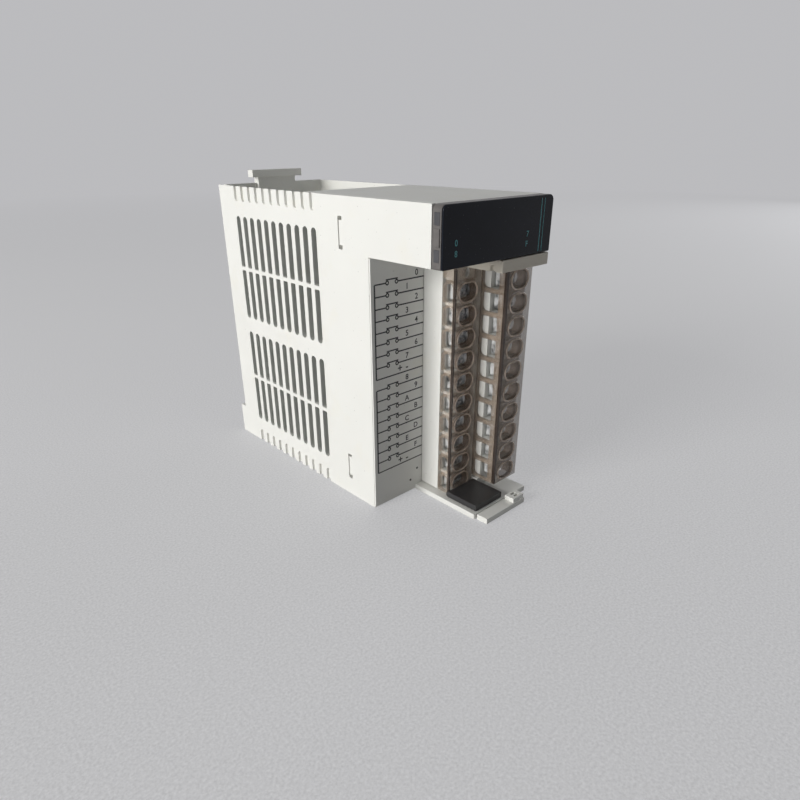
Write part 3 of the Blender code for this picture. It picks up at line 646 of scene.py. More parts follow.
def combine(obj, operation, bm):
    """Cuts a shape from a solid, or joins it on."""
    tool = solid("tool", bm)
    modifier = obj.modifiers.new("combine", "BOOLEAN")
    modifier.operation = operation
    modifier.solver = "EXACT"
    modifier.object = tool
    flatten(obj)
    discard(tool)
    return obj


def cut(obj, bm):
    """Takes a shape away from a solid."""
    return combine(obj, "DIFFERENCE", bm)


def extend(obj, bm):
    """Joins a shape to a solid."""
    return combine(obj, "UNION", bm)


def copy_of(node, name):
    """A merged copy of a solid, in case coordinates."""
    bm = bmesh.new()
    bm.from_mesh(frame["nodes"][node].data)
    bmesh.ops.remove_doubles(bm, verts=bm.verts, dist=SAME_PLACE)
    bmesh.ops.translate(bm, verts=bm.verts, vec=-ORIGIN)
    return shape_object(name, bm)


def soften(obj, radius, segments=2):
    """Rounds the edges of a solid and shades it smoothly."""
    flat, sharp = math.radians(1.0), math.radians(35.0)
    bm = bmesh.new()
    bm.from_mesh(obj.data)
    bmesh.ops.remove_doubles(bm, verts=bm.verts, dist=2 * SAME_PLACE)
    bmesh.ops.dissolve_limit(bm, angle_limit=flat, verts=bm.verts, edges=bm.edges)
    bm.to_mesh(obj.data)
    bm.free()
    bevel = obj.modifiers.new("edges", "BEVEL")
    bevel.width = radius
    bevel.segments = segments
    bevel.limit_method = "ANGLE"
    bevel.angle_limit = sharp
    bevel.use_clamp_overlap = True
    flatten(obj)
    obj.data.shade_smooth()
    weighted = obj.modifiers.new("shading", "WEIGHTED_NORMAL")
    weighted.keep_sharp = True
    return flatten(obj)


def dress(obj, finish, body, slot, *nodes):
    """Puts a piece in its place with its finish, its body and the solids it stands for; its slot is not used.
    """
    obj.data.transform(Matrix.Translation(ORIGIN))
    obj.data.materials.clear()
    obj.data.materials.append(finish_of(finish))
    for face in obj.data.polygons:
        face.material_index = 0
    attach(obj, body)
    if nodes:
        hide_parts(*nodes)
    return obj


def refinish(node, finish):
    """Gives a solid that stays a better finish."""
    obj = frame["nodes"][node]
    for entry in obj.material_slots:
        entry.material = finish_of(finish)


def new_tree(name, inputs, result):
    """A geometry tree with named inputs of these kinds, and the values of the inputs."""
    tree = bpy.data.node_groups.new(name, "GeometryNodeTree")
    for label, kind in inputs.items():
        tree.interface.new_socket(label, in_out="INPUT", socket_type=f"NodeSocket{kind}")
    tree.interface.new_socket(result, in_out="OUTPUT", socket_type="NodeSocketGeometry")
    graph = Graph(tree)
    entry = tree.nodes.new("NodeGroupInput")
    return graph, [Value(graph, entry.outputs[label]) for label in inputs]


def end_tree(graph, points, shape, finish, scale=(1.0, 1.0, 1.0)):
    """Ends a tree: the shape stands on every point as a real mesh with its finish."""
    values = {"Points": points, "Instance": shape, "Scale": scale}
    placed = graph.node("GeometryNodeInstanceOnPoints", None, values)
    real = graph.node("GeometryNodeRealizeInstances", None, {"Geometry": placed})
    dressed = graph.node("GeometryNodeSetMaterial", None, {"Geometry": real, "Material": finish})
    graph.node("NodeGroupOutput", None, {0: dressed})
    return graph.tree


def rows_tree():
    """A tree that sets one unit on every point, with named inputs for the unit, its size and its finish."""
    known = bpy.data.node_groups.get("unit rows")
    if known:
        return known
    inputs = {"Points": "Geometry", "Unit": "Object", "Size": "Float", "Finish": "Material"}
    graph, (points, unit, size, finish) = new_tree("unit rows", inputs, "Rows")
    graph.tree.interface.items_tree["Size"].default_value = 1.0
    settings = {"transform_space": "ORIGINAL"}
    shape = graph.node("GeometryNodeObjectInfo", settings, {"Object": unit}, "Geometry")
    scale = graph.node("ShaderNodeCombineXYZ", None, {"X": size, "Y": size, "Z": size})
    return end_tree(graph, points, shape, finish, scale)


def symbol_tree():
    """A tree that draws one contact symbol on every point: a lead, two rings, a bar and a lead."""
    lengths = ("First ring", "Second ring", "Lead end", "Ring radius", "Line width", "Ink")
    inputs = {"Points": "Geometry", **dict.fromkeys(lengths, "Float"), "Finish": "Material"}
    graph, values = new_tree("contact symbols", inputs, "Symbols")
    points, first, second, end, radius, width, ink, finish = values

    def stroke(start, stop, height):
        size = graph.node("ShaderNodeCombineXYZ", None, {"X": stop - start, "Y": ink, "Z": width})
        bar = graph.node("GeometryNodeMeshCube", None, {"Size": size})
        middle = (start + stop) * 0.5
        move = graph.node("ShaderNodeCombineXYZ", None, {"X": middle, "Y": ink * -0.5, "Z": height})
        return graph.node("GeometryNodeTransform", None, {"Geometry": bar, "Translation": move})

    def loop(centre):
        sizes = {"Resolution": 20, "Radius": radius}
        circle = graph.node("GeometryNodeCurvePrimitiveCircle", None, sizes)
        sizes = {"Width": width, "Height": ink}
        profile = graph.node("GeometryNodeCurvePrimitiveQuadrilateral", None, sizes)
        tube = graph.node("GeometryNodeCurveToMesh", None, {"Curve": circle, "Profile Curve": profile})
        move = graph.node("ShaderNodeCombineXYZ", None, {"X": centre, "Y": ink * -0.5, "Z": 0.0})
        places = {"Geometry": tube, "Translation": move, "Rotation": (math.pi / 2, 0.0, 0.0)}
        return graph.node("GeometryNodeTransform", None, places)

    shapes = [
        stroke(0.0, first - radius, 0.0),
        loop(first),
        stroke(first - radius, second + radius, radius + width),
        loop(second),
        stroke(second + radius, end, 0.0),
    ]
    joined = graph.tree.nodes.new("GeometryNodeJoinGeometry")
    for shape in reversed(shapes):
        graph.tree.links.new(shape.socket, joined.inputs[0])
    return end_tree(graph, points, Value(graph, joined.outputs[0]), finish)


def rim_tree():
    """A tree that bends a round bead into the rim of an opening on every point."""
    lengths = ("Width", "Height", "Thickness")
    inputs = {"Points": "Geometry", **dict.fromkeys(lengths, "Float"), "Finish": "Material"}
    graph, (points, width, height, thickness, finish) = new_tree("opening rims", inputs, "Rims")
    sizes = {"Width": width, "Height": height}
    path = graph.node("GeometryNodeCurvePrimitiveQuadrilateral", None, sizes)
    sizes = {"Curve": path, "Count": 10, "Radius": height * 0.4999}
    path = graph.node("GeometryNodeFilletCurve", {"mode": "POLY"}, sizes)
    sizes = {"Resolution": 10, "Radius": thickness * 0.5}
    bead = graph.node("GeometryNodeCurvePrimitiveCircle", None, sizes)
    tube = graph.node("GeometryNodeCurveToMesh", None, {"Curve": path, "Profile Curve": bead})
    upright = {"Geometry": tube, "Rotation": (math.pi / 2, 0.0, 0.0)}
    tube = graph.node("GeometryNodeTransform", None, upright)
    return end_tree(graph, points, tube, finish)


def grown(name, points, tree, **inputs):
    """Runs a tree on points and keeps the plain result; input names use _ for a space."""
    mesh = bpy.data.meshes.new(name)
    mesh.from_pydata([tuple(point) for point in points], [], [])
    obj = add_object(name, mesh)
    modifier = obj.modifiers.new("rows", "NODES")
    modifier.node_group = tree
    sockets = {item.name: item.identifier for item in tree.interface.items_tree if item.in_out == "INPUT"}
    for key, value in inputs.items():
        modifier[sockets[key.replace("_", " ").capitalize()]] = value
    flatten(obj)
    crease = math.radians(40.0)
    obj.data.shade_smooth()
    obj.data.set_sharp_from_angle(angle=crease)
    return obj


def write(bm, text, height, centre, ink):
    """Adds flat lettering that faces the front, its middle at a point."""
    capital_share, stroke_share = 0.70, 0.022
    data = bpy.data.curves.new("lettering", "FONT")
    data.body = text
    data.size = height / capital_share
    data.align_x = "CENTER"
    data.align_y = "CENTER"
    data.extrude = ink / 2
    data.offset = height * stroke_share
    data.resolution_u = 4
    obj = add_object("lettering", data)
    mesh = plain_mesh(obj)
    turn = Matrix.Rotation(math.pi / 2, 4, "X")
    mesh.transform(Matrix.Translation(centre) @ turn)
    bm.from_mesh(mesh)
    bpy.data.objects.remove(obj, do_unlink=True)
    bpy.data.curves.remove(data)
    bpy.data.meshes.remove(mesh)


def print_on(name, bm, finish, slot):
    """Closes a print and puts it on the case."""
    bmesh.ops.remove_doubles(bm, verts=bm.verts, dist=SAME_PLACE)
    return dress(solid(name, bm), finish, "case", slot)


def case_extent(sizes):
    """Width, height and depth of the case without its feet."""
    width = TUB_HIGH.x - ORIGIN.x
    height = TUB_HIGH.z - ORIGIN.z
    depth = TUB_HIGH.y - ORIGIN.y - sizes.foot_reach
    return width, height, depth


def side_outline(sizes):
    """The stepped outline of the case, seen from the side."""
    _, height, depth = case_extent(sizes)
    under = height - sizes.head_height
    recess = sizes.recess
    return [(0.0, under), (0.0, height), (depth, height), (depth, 0.0), (recess, 0.0), (recess, under)]


def column_places(sizes):
    """Places of the vent columns, from the back."""
    depth = case_extent(sizes)[2]
    return [depth - sizes.vent_from_back - sizes.vent_pitch * i for i in range(sizes.vent_columns)]


def vent_outlines(sizes):
    """Two pairs of slots in each column: round at the far ends, nearly square at the bridge of the pair."""
    middle = case_extent(sizes)[1] / 2
    half = sizes.vent_width / 2
    roundness = 0.96
    tip = (roundness * half,) * 2
    square = (sizes.vent_corner,) * 2
    near = sizes.vent_middle / 2
    far = near + sizes.vent_length + sizes.vent_bridge
    spans = []
    for start, up in ((near, tip + square), (far, square + tip)):
        end = start + sizes.vent_length
        spans.append((middle + start, middle + end, up))
        spans.append((middle - end, middle - start, up[::-1]))
    places = column_places(sizes)
    return [filleted((y - half, low), (y + half, high), radii) for y in places for low, high, radii in spans]


def groove_outlines(sizes):
    """Round-ended grooves that run out over the top and the bottom edge."""
    ends = (0.0, case_extent(sizes)[1])
    reach = 2 * sizes.groove_length
    return [slot_outline((y, z), sizes.groove_width, reach) for y in column_places(sizes) for z in ends]


def foot(sizes, left, right):
    """A foot that stands out at the lower end of the back."""
    depth = case_extent(sizes)[2]
    return blocks(((left, depth - sizes.wall, 0.0), (right, depth + sizes.foot_reach, sizes.foot_height)))


def snap_places(sizes):
    """Heights of the two snap slots."""
    return (case_extent(sizes)[1] - sizes.snap_from_top, sizes.snap_from_bottom)


def well_chamfer(sizes, start, end):
    """A wedge that slopes the rim of the well down to the right."""
    _, height, depth = case_extent(sizes)
    slope = math.tan(math.radians(15.0))
    reach = end + OVER
    low = height - slope * (reach - start)
    wedge = [(start, height), (start, height + OVER), (reach, height + OVER), (reach, low)]
    return prisms([wedge], "Y", sizes.top_plate, depth + OVER)


def build_side_panel(sizes):
    """The left side of the case: a flat cover with vents, edge grooves and two snap slots."""
    thick = SIDE_HIGH.x - SIDE_LOW.x
    slot_corner = 0.0004
    panel = solid("side_panel", prisms([side_outline(sizes)], "X", 0.0, thick))
    cut(panel, prisms(vent_outlines(sizes), "X", -OVER, thick + OVER))
    cut(panel, prisms(groove_outlines(sizes), "X", -OVER, sizes.groove_depth))
    slots = []
    for z in snap_places(sizes):
        low = (sizes.snap_from_front - sizes.snap_width / 2, z - sizes.snap_length / 2)
        high = (sizes.snap_from_front + sizes.snap_width / 2, z + sizes.snap_length / 2)
        slots.append(filleted(low, high, [slot_corner] * 4, 3))
    cut(panel, prisms(slots, "X", -OVER, thick + OVER))
    extend(panel, foot(sizes, 0.0, thick))
    cut(panel, well_chamfer(sizes, sizes.edge, thick))
    soften(panel, sizes.edge)
    return dress(panel, "ivory", "case", "ivory_plastic", "side_cover")


def case_openings(sizes):
    """Openings for the light guide in the head, the terminal plug in the recess and the rear connector."""
    wall, gap = sizes.wall, sizes.gap
    plug_neck = 0.0052
    guide_low, guide_high = case_box("light_guide")
    plug_low, plug_high = case_box("terminal_header")
    rear_low, rear_high = case_box("backplane_connector")
    back = case_extent(sizes)[2] - wall
    passages = (
        (guide_low.x, guide_low.z, guide_high, 0.0),
        (plug_high.x - plug_neck, plug_low.z, plug_high, sizes.recess),
        (rear_low.x, rear_low.z, rear_high, back),
    )
    openings = []
    for left, bottom, high, front in passages:
        corner = (left - gap, front - OVER, bottom - gap)
        openings.append((corner, (high.x + gap, front + wall + OVER, high.z + gap)))
    return blocks(*openings)


def add_snap_tongues(body, sizes, left):
    """Two tongues behind the snap slots of the side panel, each with a nub that fills its slot."""
    height = case_extent(sizes)[1]
    wall, gap, front = sizes.wall, sizes.gap, sizes.snap_from_front
    half = sizes.snap_width / 2
    tongue, end_gap = 0.0015, 0.0012
    nub_face, nub_root = 0.0003, 0.0008
    for z, root in zip(snap_places(sizes), (height - wall / 2, wall / 2)):
        tip = z + math.copysign(sizes.snap_length / 2, z - root)
        low, high = sorted((root, tip))
        corner = (left, front - half - wall / 2, low)
        extend(body, blocks((corner, (left + tongue, front + half + wall / 2, high))))
        reach = sizes.snap_length / 2 - end_gap
        corner = (nub_face, front - half + gap / 2, z - reach)
        extend(body, blocks((corner, (left + nub_root, front + half - gap / 2, z + reach))))


def build_case_body(sizes):
    """The tub: head, top plate, well, back, bottom and the vented right side."""
    width, height, depth = case_extent(sizes)
    wall = sizes.wall
    left = SIDE_HIGH.x - SIDE_LOW.x + sizes.gap
    right = width - wall
    under = height - sizes.head_height
    floor = height - sizes.well_depth
    body = solid("case_body", prisms([side_outline(sizes)], "X", left, width))
    hollow = [
        (wall, under + wall),
        (wall, height - wall),
        (sizes.top_plate - wall, height - wall),
        (sizes.top_plate - wall, floor - wall),
        (depth - wall, floor - wall),
        (depth - wall, wall),
        (sizes.recess + wall, wall),
        (sizes.recess + wall, under + wall),
    ]
    cut(body, prisms([hollow], "X", left - OVER, right))
    cut(body, blocks(((left - OVER, sizes.top_plate, floor), (right, depth - wall, height + OVER))))
    notch_half, notch_floor, swing_room = 0.0091, 0.0920, 0.0006
    corner = (width / 2 - notch_half, case_box("lock_lever")[0].y - swing_room, notch_floor)
    cut(body, blocks((corner, (width / 2 + notch_half, depth + OVER, height + 2 * OVER))))
    cut(body, case_openings(sizes))
    cut(body, prisms(vent_outlines(sizes), "X", right - OVER, width + OVER))
    cut(body, prisms(groove_outlines(sizes), "X", width - sizes.groove_depth, width + OVER))
    extend(body, foot(sizes, right - wall, width))
    rim_land = 0.0004
    cut(body, well_chamfer(sizes, right + rim_land, width))
    add_snap_tongues(body, sizes, left)
    soften(body, sizes.edge)
    return dress(body, "ivory", "case", "ivory_plastic", "case_tub")


class MODULE_OT_case(bpy.types.Operator):
    """Builds the side panel and the tub of the case"""

    bl_idname = "module.case"
    bl_label = "Case"

    def execute(self, context):
        sizes = context.scene.module_case
        build_side_panel(sizes)
        build_case_body(sizes)
        return {"FINISHED"}


def end_block(side, out, proud, root, depth, middle, half):
    """A block on one end of the head, from its outer face to its root, about a middle height."""
    near, far = sorted((side + out * proud, side - out * root))
    return (near, depth[0], middle - half), (far, depth[1], middle + half)


def build_window_frame(outline, low, high, front):
    """The frame behind the window: a rim with a tab and two pockets at each end, filled with dark blocks as
    painted shade.
    """
    back = case_box("display_frame")[1].y
    middle = (low.z + high.z) / 2
    seam, rim, corner = 0.00003, 0.0020, 0.0005
    frame_cap = solid("window_frame", prisms([outline], "Y", front + seam, back))
    view = filleted((low.x + rim, low.z + rim), (high.x - rim, high.z - rim), [corner] * 4, 3)
    cut(frame_cap, prisms([view], "Y", low.y - OVER, back + OVER))
    tab_inset, tab_proud, tab_root, tab_half = 0.0004, 0.0004, 0.0010, 0.0023
    pocket_inset, pocket_proud, pocket_root, pocket_half = 0.0006, 0.00006, 0.0004, 0.0016
    pocket_offset = 0.0047
    tab_depth = (front + tab_inset, back - tab_inset)
    pocket_span = (front + pocket_inset, back - pocket_inset)
    tabs = []
    pockets = []
    for side, out in ((low.x, -1), (high.x, 1)):
        tabs.append(end_block(side, out, tab_proud, tab_root, tab_depth, middle, tab_half))
        for z in (middle - pocket_offset, middle + pocket_offset):
            pockets.append(end_block(side, out, pocket_proud, pocket_root, pocket_span, z, pocket_half))
    extend(frame_cap, blocks(*tabs))
    cut(frame_cap, blocks(*pockets))
    dress(soften(frame_cap, 0.0002), "frame", "case", "dark_plastic", "display_frame")
    # Dark blocks in the pockets, in connector plastic: painted shade of the recesses
    pocket_shade = soften(solid("frame_shades", blocks(*pockets)), 0.0001)
    dress(pocket_shade, "socket", "case", "dark_plastic")


def build_display_print(marks, front):
    """Four signs and two upright lines on the front of the window."""
    ink = marks.ink
    sign_height, line_foot, line_head = 0.0016, 0.0871, 0.1022
    signs = (("0", 0.0051, 0.0931), ("8", 0.0051, 0.0903), ("7", 0.0362, 0.0926), ("F", 0.0360, 0.0898))
    bm = bmesh.new()
    for text, x, z in signs:
        write(bm, text, sign_height, (x, front - ink / 2, z), ink)
    for x, width in ((0.0421, 0.00032), (0.0436, 0.00024)):
        blocks(((x - width / 2, front - ink, line_foot), (x + width / 2, front, line_head)), bm=bm)
    print_on("display_print", bm, "teal", "smoked_window")


class MODULE_OT_display(bpy.types.Operator):
    """Builds the window with its print, and the frame behind it"""

    bl_idname = "module.display"
    bl_label = "Display head"

    def execute(self, context):
        low, high = case_box("display_window")
        pane_thickness, lower_corner, upper_corner = 0.0007, 0.0005, 0.0016
        pane_back = low.y + pane_thickness
        radii = (lower_corner, lower_corner, upper_corner, upper_corner)
        outline = filleted((low.x, low.z), (high.x, high.z), radii)
        pane = soften(solid("window_pane", prisms([outline], "Y", low.y, pane_back)), 0.00025, 3)
        dress(pane, "window", "case", "smoked_window", "display_window")
        build_window_frame(outline, low, high, pane_back)
        build_display_print(context.scene.module_terminals, low.y)
        refinish("light_guide", "clear")
        refinish("led_board", "board")
        return {"FINISHED"}


def build_label_sheet(front, back, right):
    """The sheet on the wiring front, from the bottom of the case to the head."""
    under = case_box("display_window")[0].z
    left, foot_gap, head_gap, corner, sunk = 0.00012, 0.0004, 0.0002, 0.0002, 0.00028
    outline = filleted((left, foot_gap), (right, under - head_gap), [corner] * 4, 2)
    sheet = soften(solid("diagram_sheet", prisms([outline], "Y", front, back + sunk)), 0.00006)
    dress(sheet, "label", "case", "label_sheet", "label_sheet")


def build_contact_lines(marks, heights, front, bus, right):
    """One line with a contact symbol for each input."""
    symbols = grown(
        "contact_lines",
        [(bus, front, z) for z in heights],
        symbol_tree(),
        first_ring=0.0052,
        second_ring=0.0091,
        lead_end=right - bus,
        ring_radius=0.00055,
        line_width=marks.line_width,
        ink=marks.ink,
        finish=finish_of("ink"),
    )
    dress(symbols, "ink", "case", "label_sheet")


def build_diagram_marks(marks, heights, group, front, bus, right):
    """The upright and common lines of both groups, the signs over the lines, and two dots."""
    ink, width = marks.ink, marks.line_width
    bus_half = width * 0.65
    strokes = []
    for start in (0, group):
        top, z = heights[start], heights[start + group - 1]
        strokes.append(((bus - bus_half, front - ink, z), (bus + bus_half, front, top)))
        strokes.append(((bus, front - ink, z - width / 2), (right, front, z + width / 2)))
    bm = blocks(*strokes)
    lift, pole_height = 0.0016, 0.0026
    near, far = 0.0152, 0.0194
    poles = (("+", 0.0120), ("-", near))
    signs = "01234567 89ABCDEF "
    for i, z in enumerate(heights):
        y = front - ink / 2
        if (i + 1) % group == 0:
            for pole, x in poles:
                write(bm, pole, pole_height, (x, y, z + lift), ink)
        else:
            x = far if i % 2 == 0 else near
            write(bm, signs[i], marks.digit_height, (x, y, z + lift), ink)
    dot_radius = 0.00045
    dots = [round_outline(place, dot_radius, 16) for place in ((0.0203, 0.0086), (0.0170, 0.0048))]
    prisms(dots, "Y", front - ink, front, bm)
    print_on("diagram_marks", bm, "ink", "label_sheet")


class MODULE_OT_label(bpy.types.Operator):
    """Builds the label sheet and its printed wiring diagram"""

    bl_idname = "module.label"
    bl_label = "Wiring diagram"

    def execute(self, context):
        marks = context.scene.module_terminals
        low, high = case_box("label_sheet")
        play, line_rise, bus = 0.0002, 0.0002, 0.0016
        right = case_box("terminal_base")[0].x - play
        build_label_sheet(low.y, high.y, right)
        top = centre_of("screw_right_01")[2] + line_rise
        heights = [top - marks.pitch / 2 * i for i in range(2 * marks.rows - 2)]
        group = len(heights) // 2
        inputs = [z for i, z in enumerate(heights) if (i + 1) % group]
        build_contact_lines(marks, inputs, low.y, bus, right)
        build_diagram_marks(marks, heights, group, low.y, bus, right)
        return {"FINISHED"}


def build_guard(name, node, rows, sizes, skirt, entry, corners):
    """A smoked channel with an opening for the screwdriver at each row and wire openings in its left side."""
    low, high = case_box(node)
    wall = sizes.guard_wall
    inner = low.y + wall
    channel = [
        (low.x, skirt),
        (low.x, low.y),
        (high.x, low.y),
        (high.x, high.y),
        (high.x - wall, high.y),
        (high.x - wall, inner),
        (low.x + wall, inner),
        (low.x + wall, skirt),
    ]
    guard = solid(name, prisms([channel], "Z", low.z, high.z))
    middle = (low.x + high.x) / 2
    holes = [slot_outline((middle, z), sizes.access_width, sizes.access_height, 12) for z in rows]
    cut(guard, prisms(holes, "Y", low.y - OVER, inner + OVER))
    half = sizes.entry_height / 2
    entries = [filleted((entry[0], z - half), (entry[1], z + half), corners) for z in rows]
    cut(guard, prisms(entries, "X", low.x - OVER, low.x + wall + OVER))
    return guard


def build_left_guard(sizes, rows):
    """The left guard, with a hole for the fixing screw and notches between the wire openings."""
    low, high = case_box("left_cover")
    reach = low.x + sizes.guard_wall + OVER
    front_inset, rear_inset, radius = 0.0011, 0.0005, 0.0014
    entry = (low.y + front_inset, high.y - rear_inset)
    guard = build_guard("left_guard", "left_cover", rows, sizes, high.y, entry, [radius] * 4)
    screw_low, screw_high = case_box("fixing_screw")
    hole_x, _, hole_z = centre_of("fixing_screw")
    hole = round_outline((hole_x, hole_z), (screw_high.x - screw_low.x) / 2 + sizes.collar)
    cut(guard, prisms([hole], "Y", low.y - OVER, low.y + sizes.guard_wall + OVER))
    notch_depth, notch_half = 0.0012, 0.0008
    notches = []
    for z in rows:
        middle = z + sizes.pitch / 2
        corner = (low.x - OVER, high.y - notch_depth, middle - notch_half)
        notches.append((corner, (reach, high.y + OVER, middle + notch_half)))
    return cut(guard, blocks(*notches))


def build_right_guard(sizes, rows, skirt):
    """The right guard, whose left side reaches back to the left guard."""
    low = case_box("right_cover")[0]
    front_inset, rear_inset = 0.0033, 0.0006
    entry = (low.y + front_inset, skirt - rear_inset)
    corners = (0.0004, 0.0016, 0.0005, 0.0004)
    return build_guard("right_guard", "right_cover", rows, sizes, skirt, entry, corners)


def build_funnels(name, sizes, points, depth):
    """The funnels that lead a screwdriver from the guard's openings to the screws."""
    wall = sizes.collar
    seam, taper = 0.00002, 0.05
    close = 1.0 - taper * depth / wall

    def funnel(grow, start, end):
        wide, tall = sizes.access_width + grow, sizes.access_height + grow
        front = slot_outline((0.0, 0.0), wide, tall, 10)
        rear = slot_outline((0.0, 0.0), wide * close, tall * close, 10)
        return tapered(front, rear, start, end)

    unit = solid("funnel_unit", funnel(2 * wall, wall / 2, depth))
    cut(unit, funnel(0.0, wall / 2 - seam, depth + seam))
    funnels = grown(name, points, rows_tree(), unit=unit, finish=finish_of("funnel"))
    discard(unit)
    dress(funnels, "funnel", "terminal_block", "smoked_guard")


def build_guards(sizes, rows, skirt):
    """Both finger guards with their funnels, rims and thick edges."""
    guards = {
        "left": build_left_guard(sizes, rows["left"]),
        "right": build_right_guard(sizes, rows["right"], skirt),
    }
    finishes = {"left": "guard", "right": "deep_guard"}
    funnel_depths = {"left": 0.0022, "right": 0.0030}
    edge_reaches = {"left": 0.0009, "right": 0.0013}
    edge_width, edge_proud, edge_gap = 0.0008, 0.00004, 0.0002
    points = []
    edges = []
    for side, guard in guards.items():
        node = f"{side}_cover"
        low, high = case_box(node)
        column = [((low.x + high.x) / 2, low.y, z) for z in rows[side]]
        points += column
        build_funnels(f"{side}_funnels", sizes, column, funnel_depths[side])
        soften(guard, 0.00018)
        dress(guard, finishes[side], "terminal_block", "smoked_guard", node)
        corner = (low.x - edge_proud, low.y - edge_proud, low.z + edge_gap)
        edges.append((corner, (low.x + edge_width, low.y + edge_reaches[side], high.z - edge_gap)))
    rims = grown(
        "opening_rims",
        points,
        rim_tree(),
        width=sizes.access_width + sizes.rim,
        height=sizes.access_height + sizes.rim,
        thickness=sizes.rim,
        finish=finish_of("rim"),
    )
    dress(rims, "rim", "terminal_block", "smoked_guard")
    dress(soften(solid("guard_edges", blocks(*edges)), 0.0002), "edge", "terminal_block", "smoked_guard")


def build_terminal_base(sizes, skirt):
    """The stepped base, with a rebate for the left side of the right guard."""
    base = copy_of("terminal_base", "stepped_base")
    low, high = case_box("right_cover")
    side_play, rear_play = 0.0001, 0.0002
    corner = (low.x - OVER, high.y - OVER, low.z - OVER)
    cut(base, blocks((corner, (low.x + sizes.guard_wall + side_play, skirt + rear_play, high.z + OVER))))
    dress(soften(base, 0.00022), "ivory", "terminal_block", "ivory_plastic", "terminal_base")


def build_screws(sizes, seats, nodes):
    """The terminal screws, with a cross recess in each head."""
    thick = sizes.plate_thickness
    head = sizes.head_radius
    tip = -thick - sizes.head_height
    profile = [
        (head * 0.62, tip),
        (head * 0.80, tip + 0.00006),
        (head * 0.93, tip + 0.00024),
        (head, tip + 0.00060),
        (head, -thick),
        (sizes.shank_radius, -thick),
        (sizes.shank_radius, sizes.shank_length),
    ]
    unit = solid("screw_unit", turned(profile))
    arm, reach, recess = 0.00036, head * 0.66, 0.0011
    quarter = [(-arm, -reach), (arm, -reach), (arm, -arm)]
    cross = []
    for _ in range(4):
        cross += quarter
        quarter = [(-b, a) for a, b in quarter]
    cut(unit, prisms([cross], "Y", tip - OVER, tip + recess))
    screws = grown("terminal_screws", seats, rows_tree(), unit=unit, finish=finish_of("steel"))
    dress(screws, "steel", "terminal_block", "plated_steel", *nodes)
    discard(unit)


def build_clamp_plates(sizes, seats):
    """The square plates under the screws, with two sides turned up."""
    thick = sizes.plate_thickness
    half = sizes.plate / 2
    corner, lift, play = 0.0008, 0.00004, 0.0001
    tab_half, tab_thickness, tab_root = 0.0023, 0.0006, 0.0002
    outline = filleted((-half, -half), (half, half), [corner] * 4, 3)
    plate = solid("plate_unit", prisms([outline], "Y", -thick, -lift))
    tip = -sizes.tab_rise - thick
    tabs = []
    for x in (-half, half - tab_thickness):
        tabs.append(((x, tip, -tab_half), (x + tab_thickness, -tab_root, tab_half)))
    soften(extend(plate, blocks(*tabs)), 0.00012)
    bore = round_outline((0.0, 0.0), sizes.shank_radius + play)
    cut(plate, prisms([bore], "Y", -2 * OVER, OVER))
    plates = grown("clamp_plates", seats, rows_tree(), unit=plate, finish=finish_of("clamp"))
    dress(plates, "clamp", "terminal_block", "plated_steel")
    discard(plate)


def build_fixing_screw():
    """The slotted screw that holds the block, at the upper end of the left guard."""
    low, high = case_box("fixing_screw")
    radius = (high.x - low.x) / 2
    shank, head, crown = 0.0009, 0.0016, 0.0003
    slot_half, slot_depth, slot_reach = 0.0002, 0.0006, 0.01
    profile = [(radius * 0.8, 0.0), (radius, crown), (radius, head), (shank, head), (shank, high.y - low.y)]
    screw = solid("block_screw", turned(profile))
    cut(screw, blocks(((-slot_reach, -OVER, -slot_half), (slot_reach, slot_depth, slot_half))))
    x, _, z = centre_of("fixing_screw")
    screw.data.transform(Matrix.Translation((x, low.y, z)))
    dress(soften(screw, 0.00005), "steel", "terminal_block", "plated_steel", "fixing_screw")


class MODULE_OT_terminals(bpy.types.Operator):
    """Builds the stepped terminal base, the two guards, the screws and the clamp plates"""

    bl_idname = "module.terminals"
    bl_label = "Terminal block"

    def execute(self, context):
        sizes = context.scene.module_terminals
        numbers = range(1, sizes.rows + 1)
        nodes = {side: [f"screw_{side}_{i:02d}" for i in numbers] for side in ("left", "right")}
        rows = {side: [centre_of(node)[2] for node in nodes[side]] for side in nodes}
        skirt_gap = 0.0003
        skirt = case_box("left_cover")[0].y + skirt_gap
        build_terminal_base(sizes, skirt)
        build_guards(sizes, rows, skirt)
        screws = nodes["left"] + nodes["right"]
        seats = []
        for screw in screws:
            x, _, z = centre_of(screw)
            seats.append((x, case_box(screw)[1].y - sizes.shank_length, z))
        build_screws(sizes, seats, screws)
        build_clamp_plates(sizes, seats)
        build_fixing_screw()
        refinish("release_pin", "steel")
        return {"FINISHED"}


class MODULE_OT_fittings(bpy.types.Operator):
    """Builds the ledge under the head, the shelf and the front lip"""

    bl_idname = "module.fittings"
    bl_label = "Ledge, shelf and lip"

    def execute(self, context):
        sizes = context.scene.module_case
        ledge = copy_of("upper_ledge", "head_ledge")
        low = case_box("upper_ledge")[0]
        notch_front, notch_back, notch_width, notch_rise = 0.0030, 0.0046, 0.0012, 0.0019
        corner = (low.x - OVER, low.y + notch_front, low.z - OVER)
        cut(ledge, blocks((corner, (low.x + notch_width, low.y + notch_back, low.z + notch_rise))))
        # The ledge's darker ivory is painted shade, with some real yellowing
        dress(soften(ledge, sizes.edge), "shaded_yellowed", "case", "ivory_plastic", "upper_ledge")
        shelf = soften(copy_of("bottom_shelf", "wiring_shelf"), 0.0003)
        dress(shelf, "ivory", "case", "ivory_plastic", "bottom_shelf")
        lip = soften(copy_of("front_lip", "shelf_lip"), 0.00025)
        dress(lip, "ivory", "case", "ivory_plastic", "front_lip")
        return {"FINISHED"}


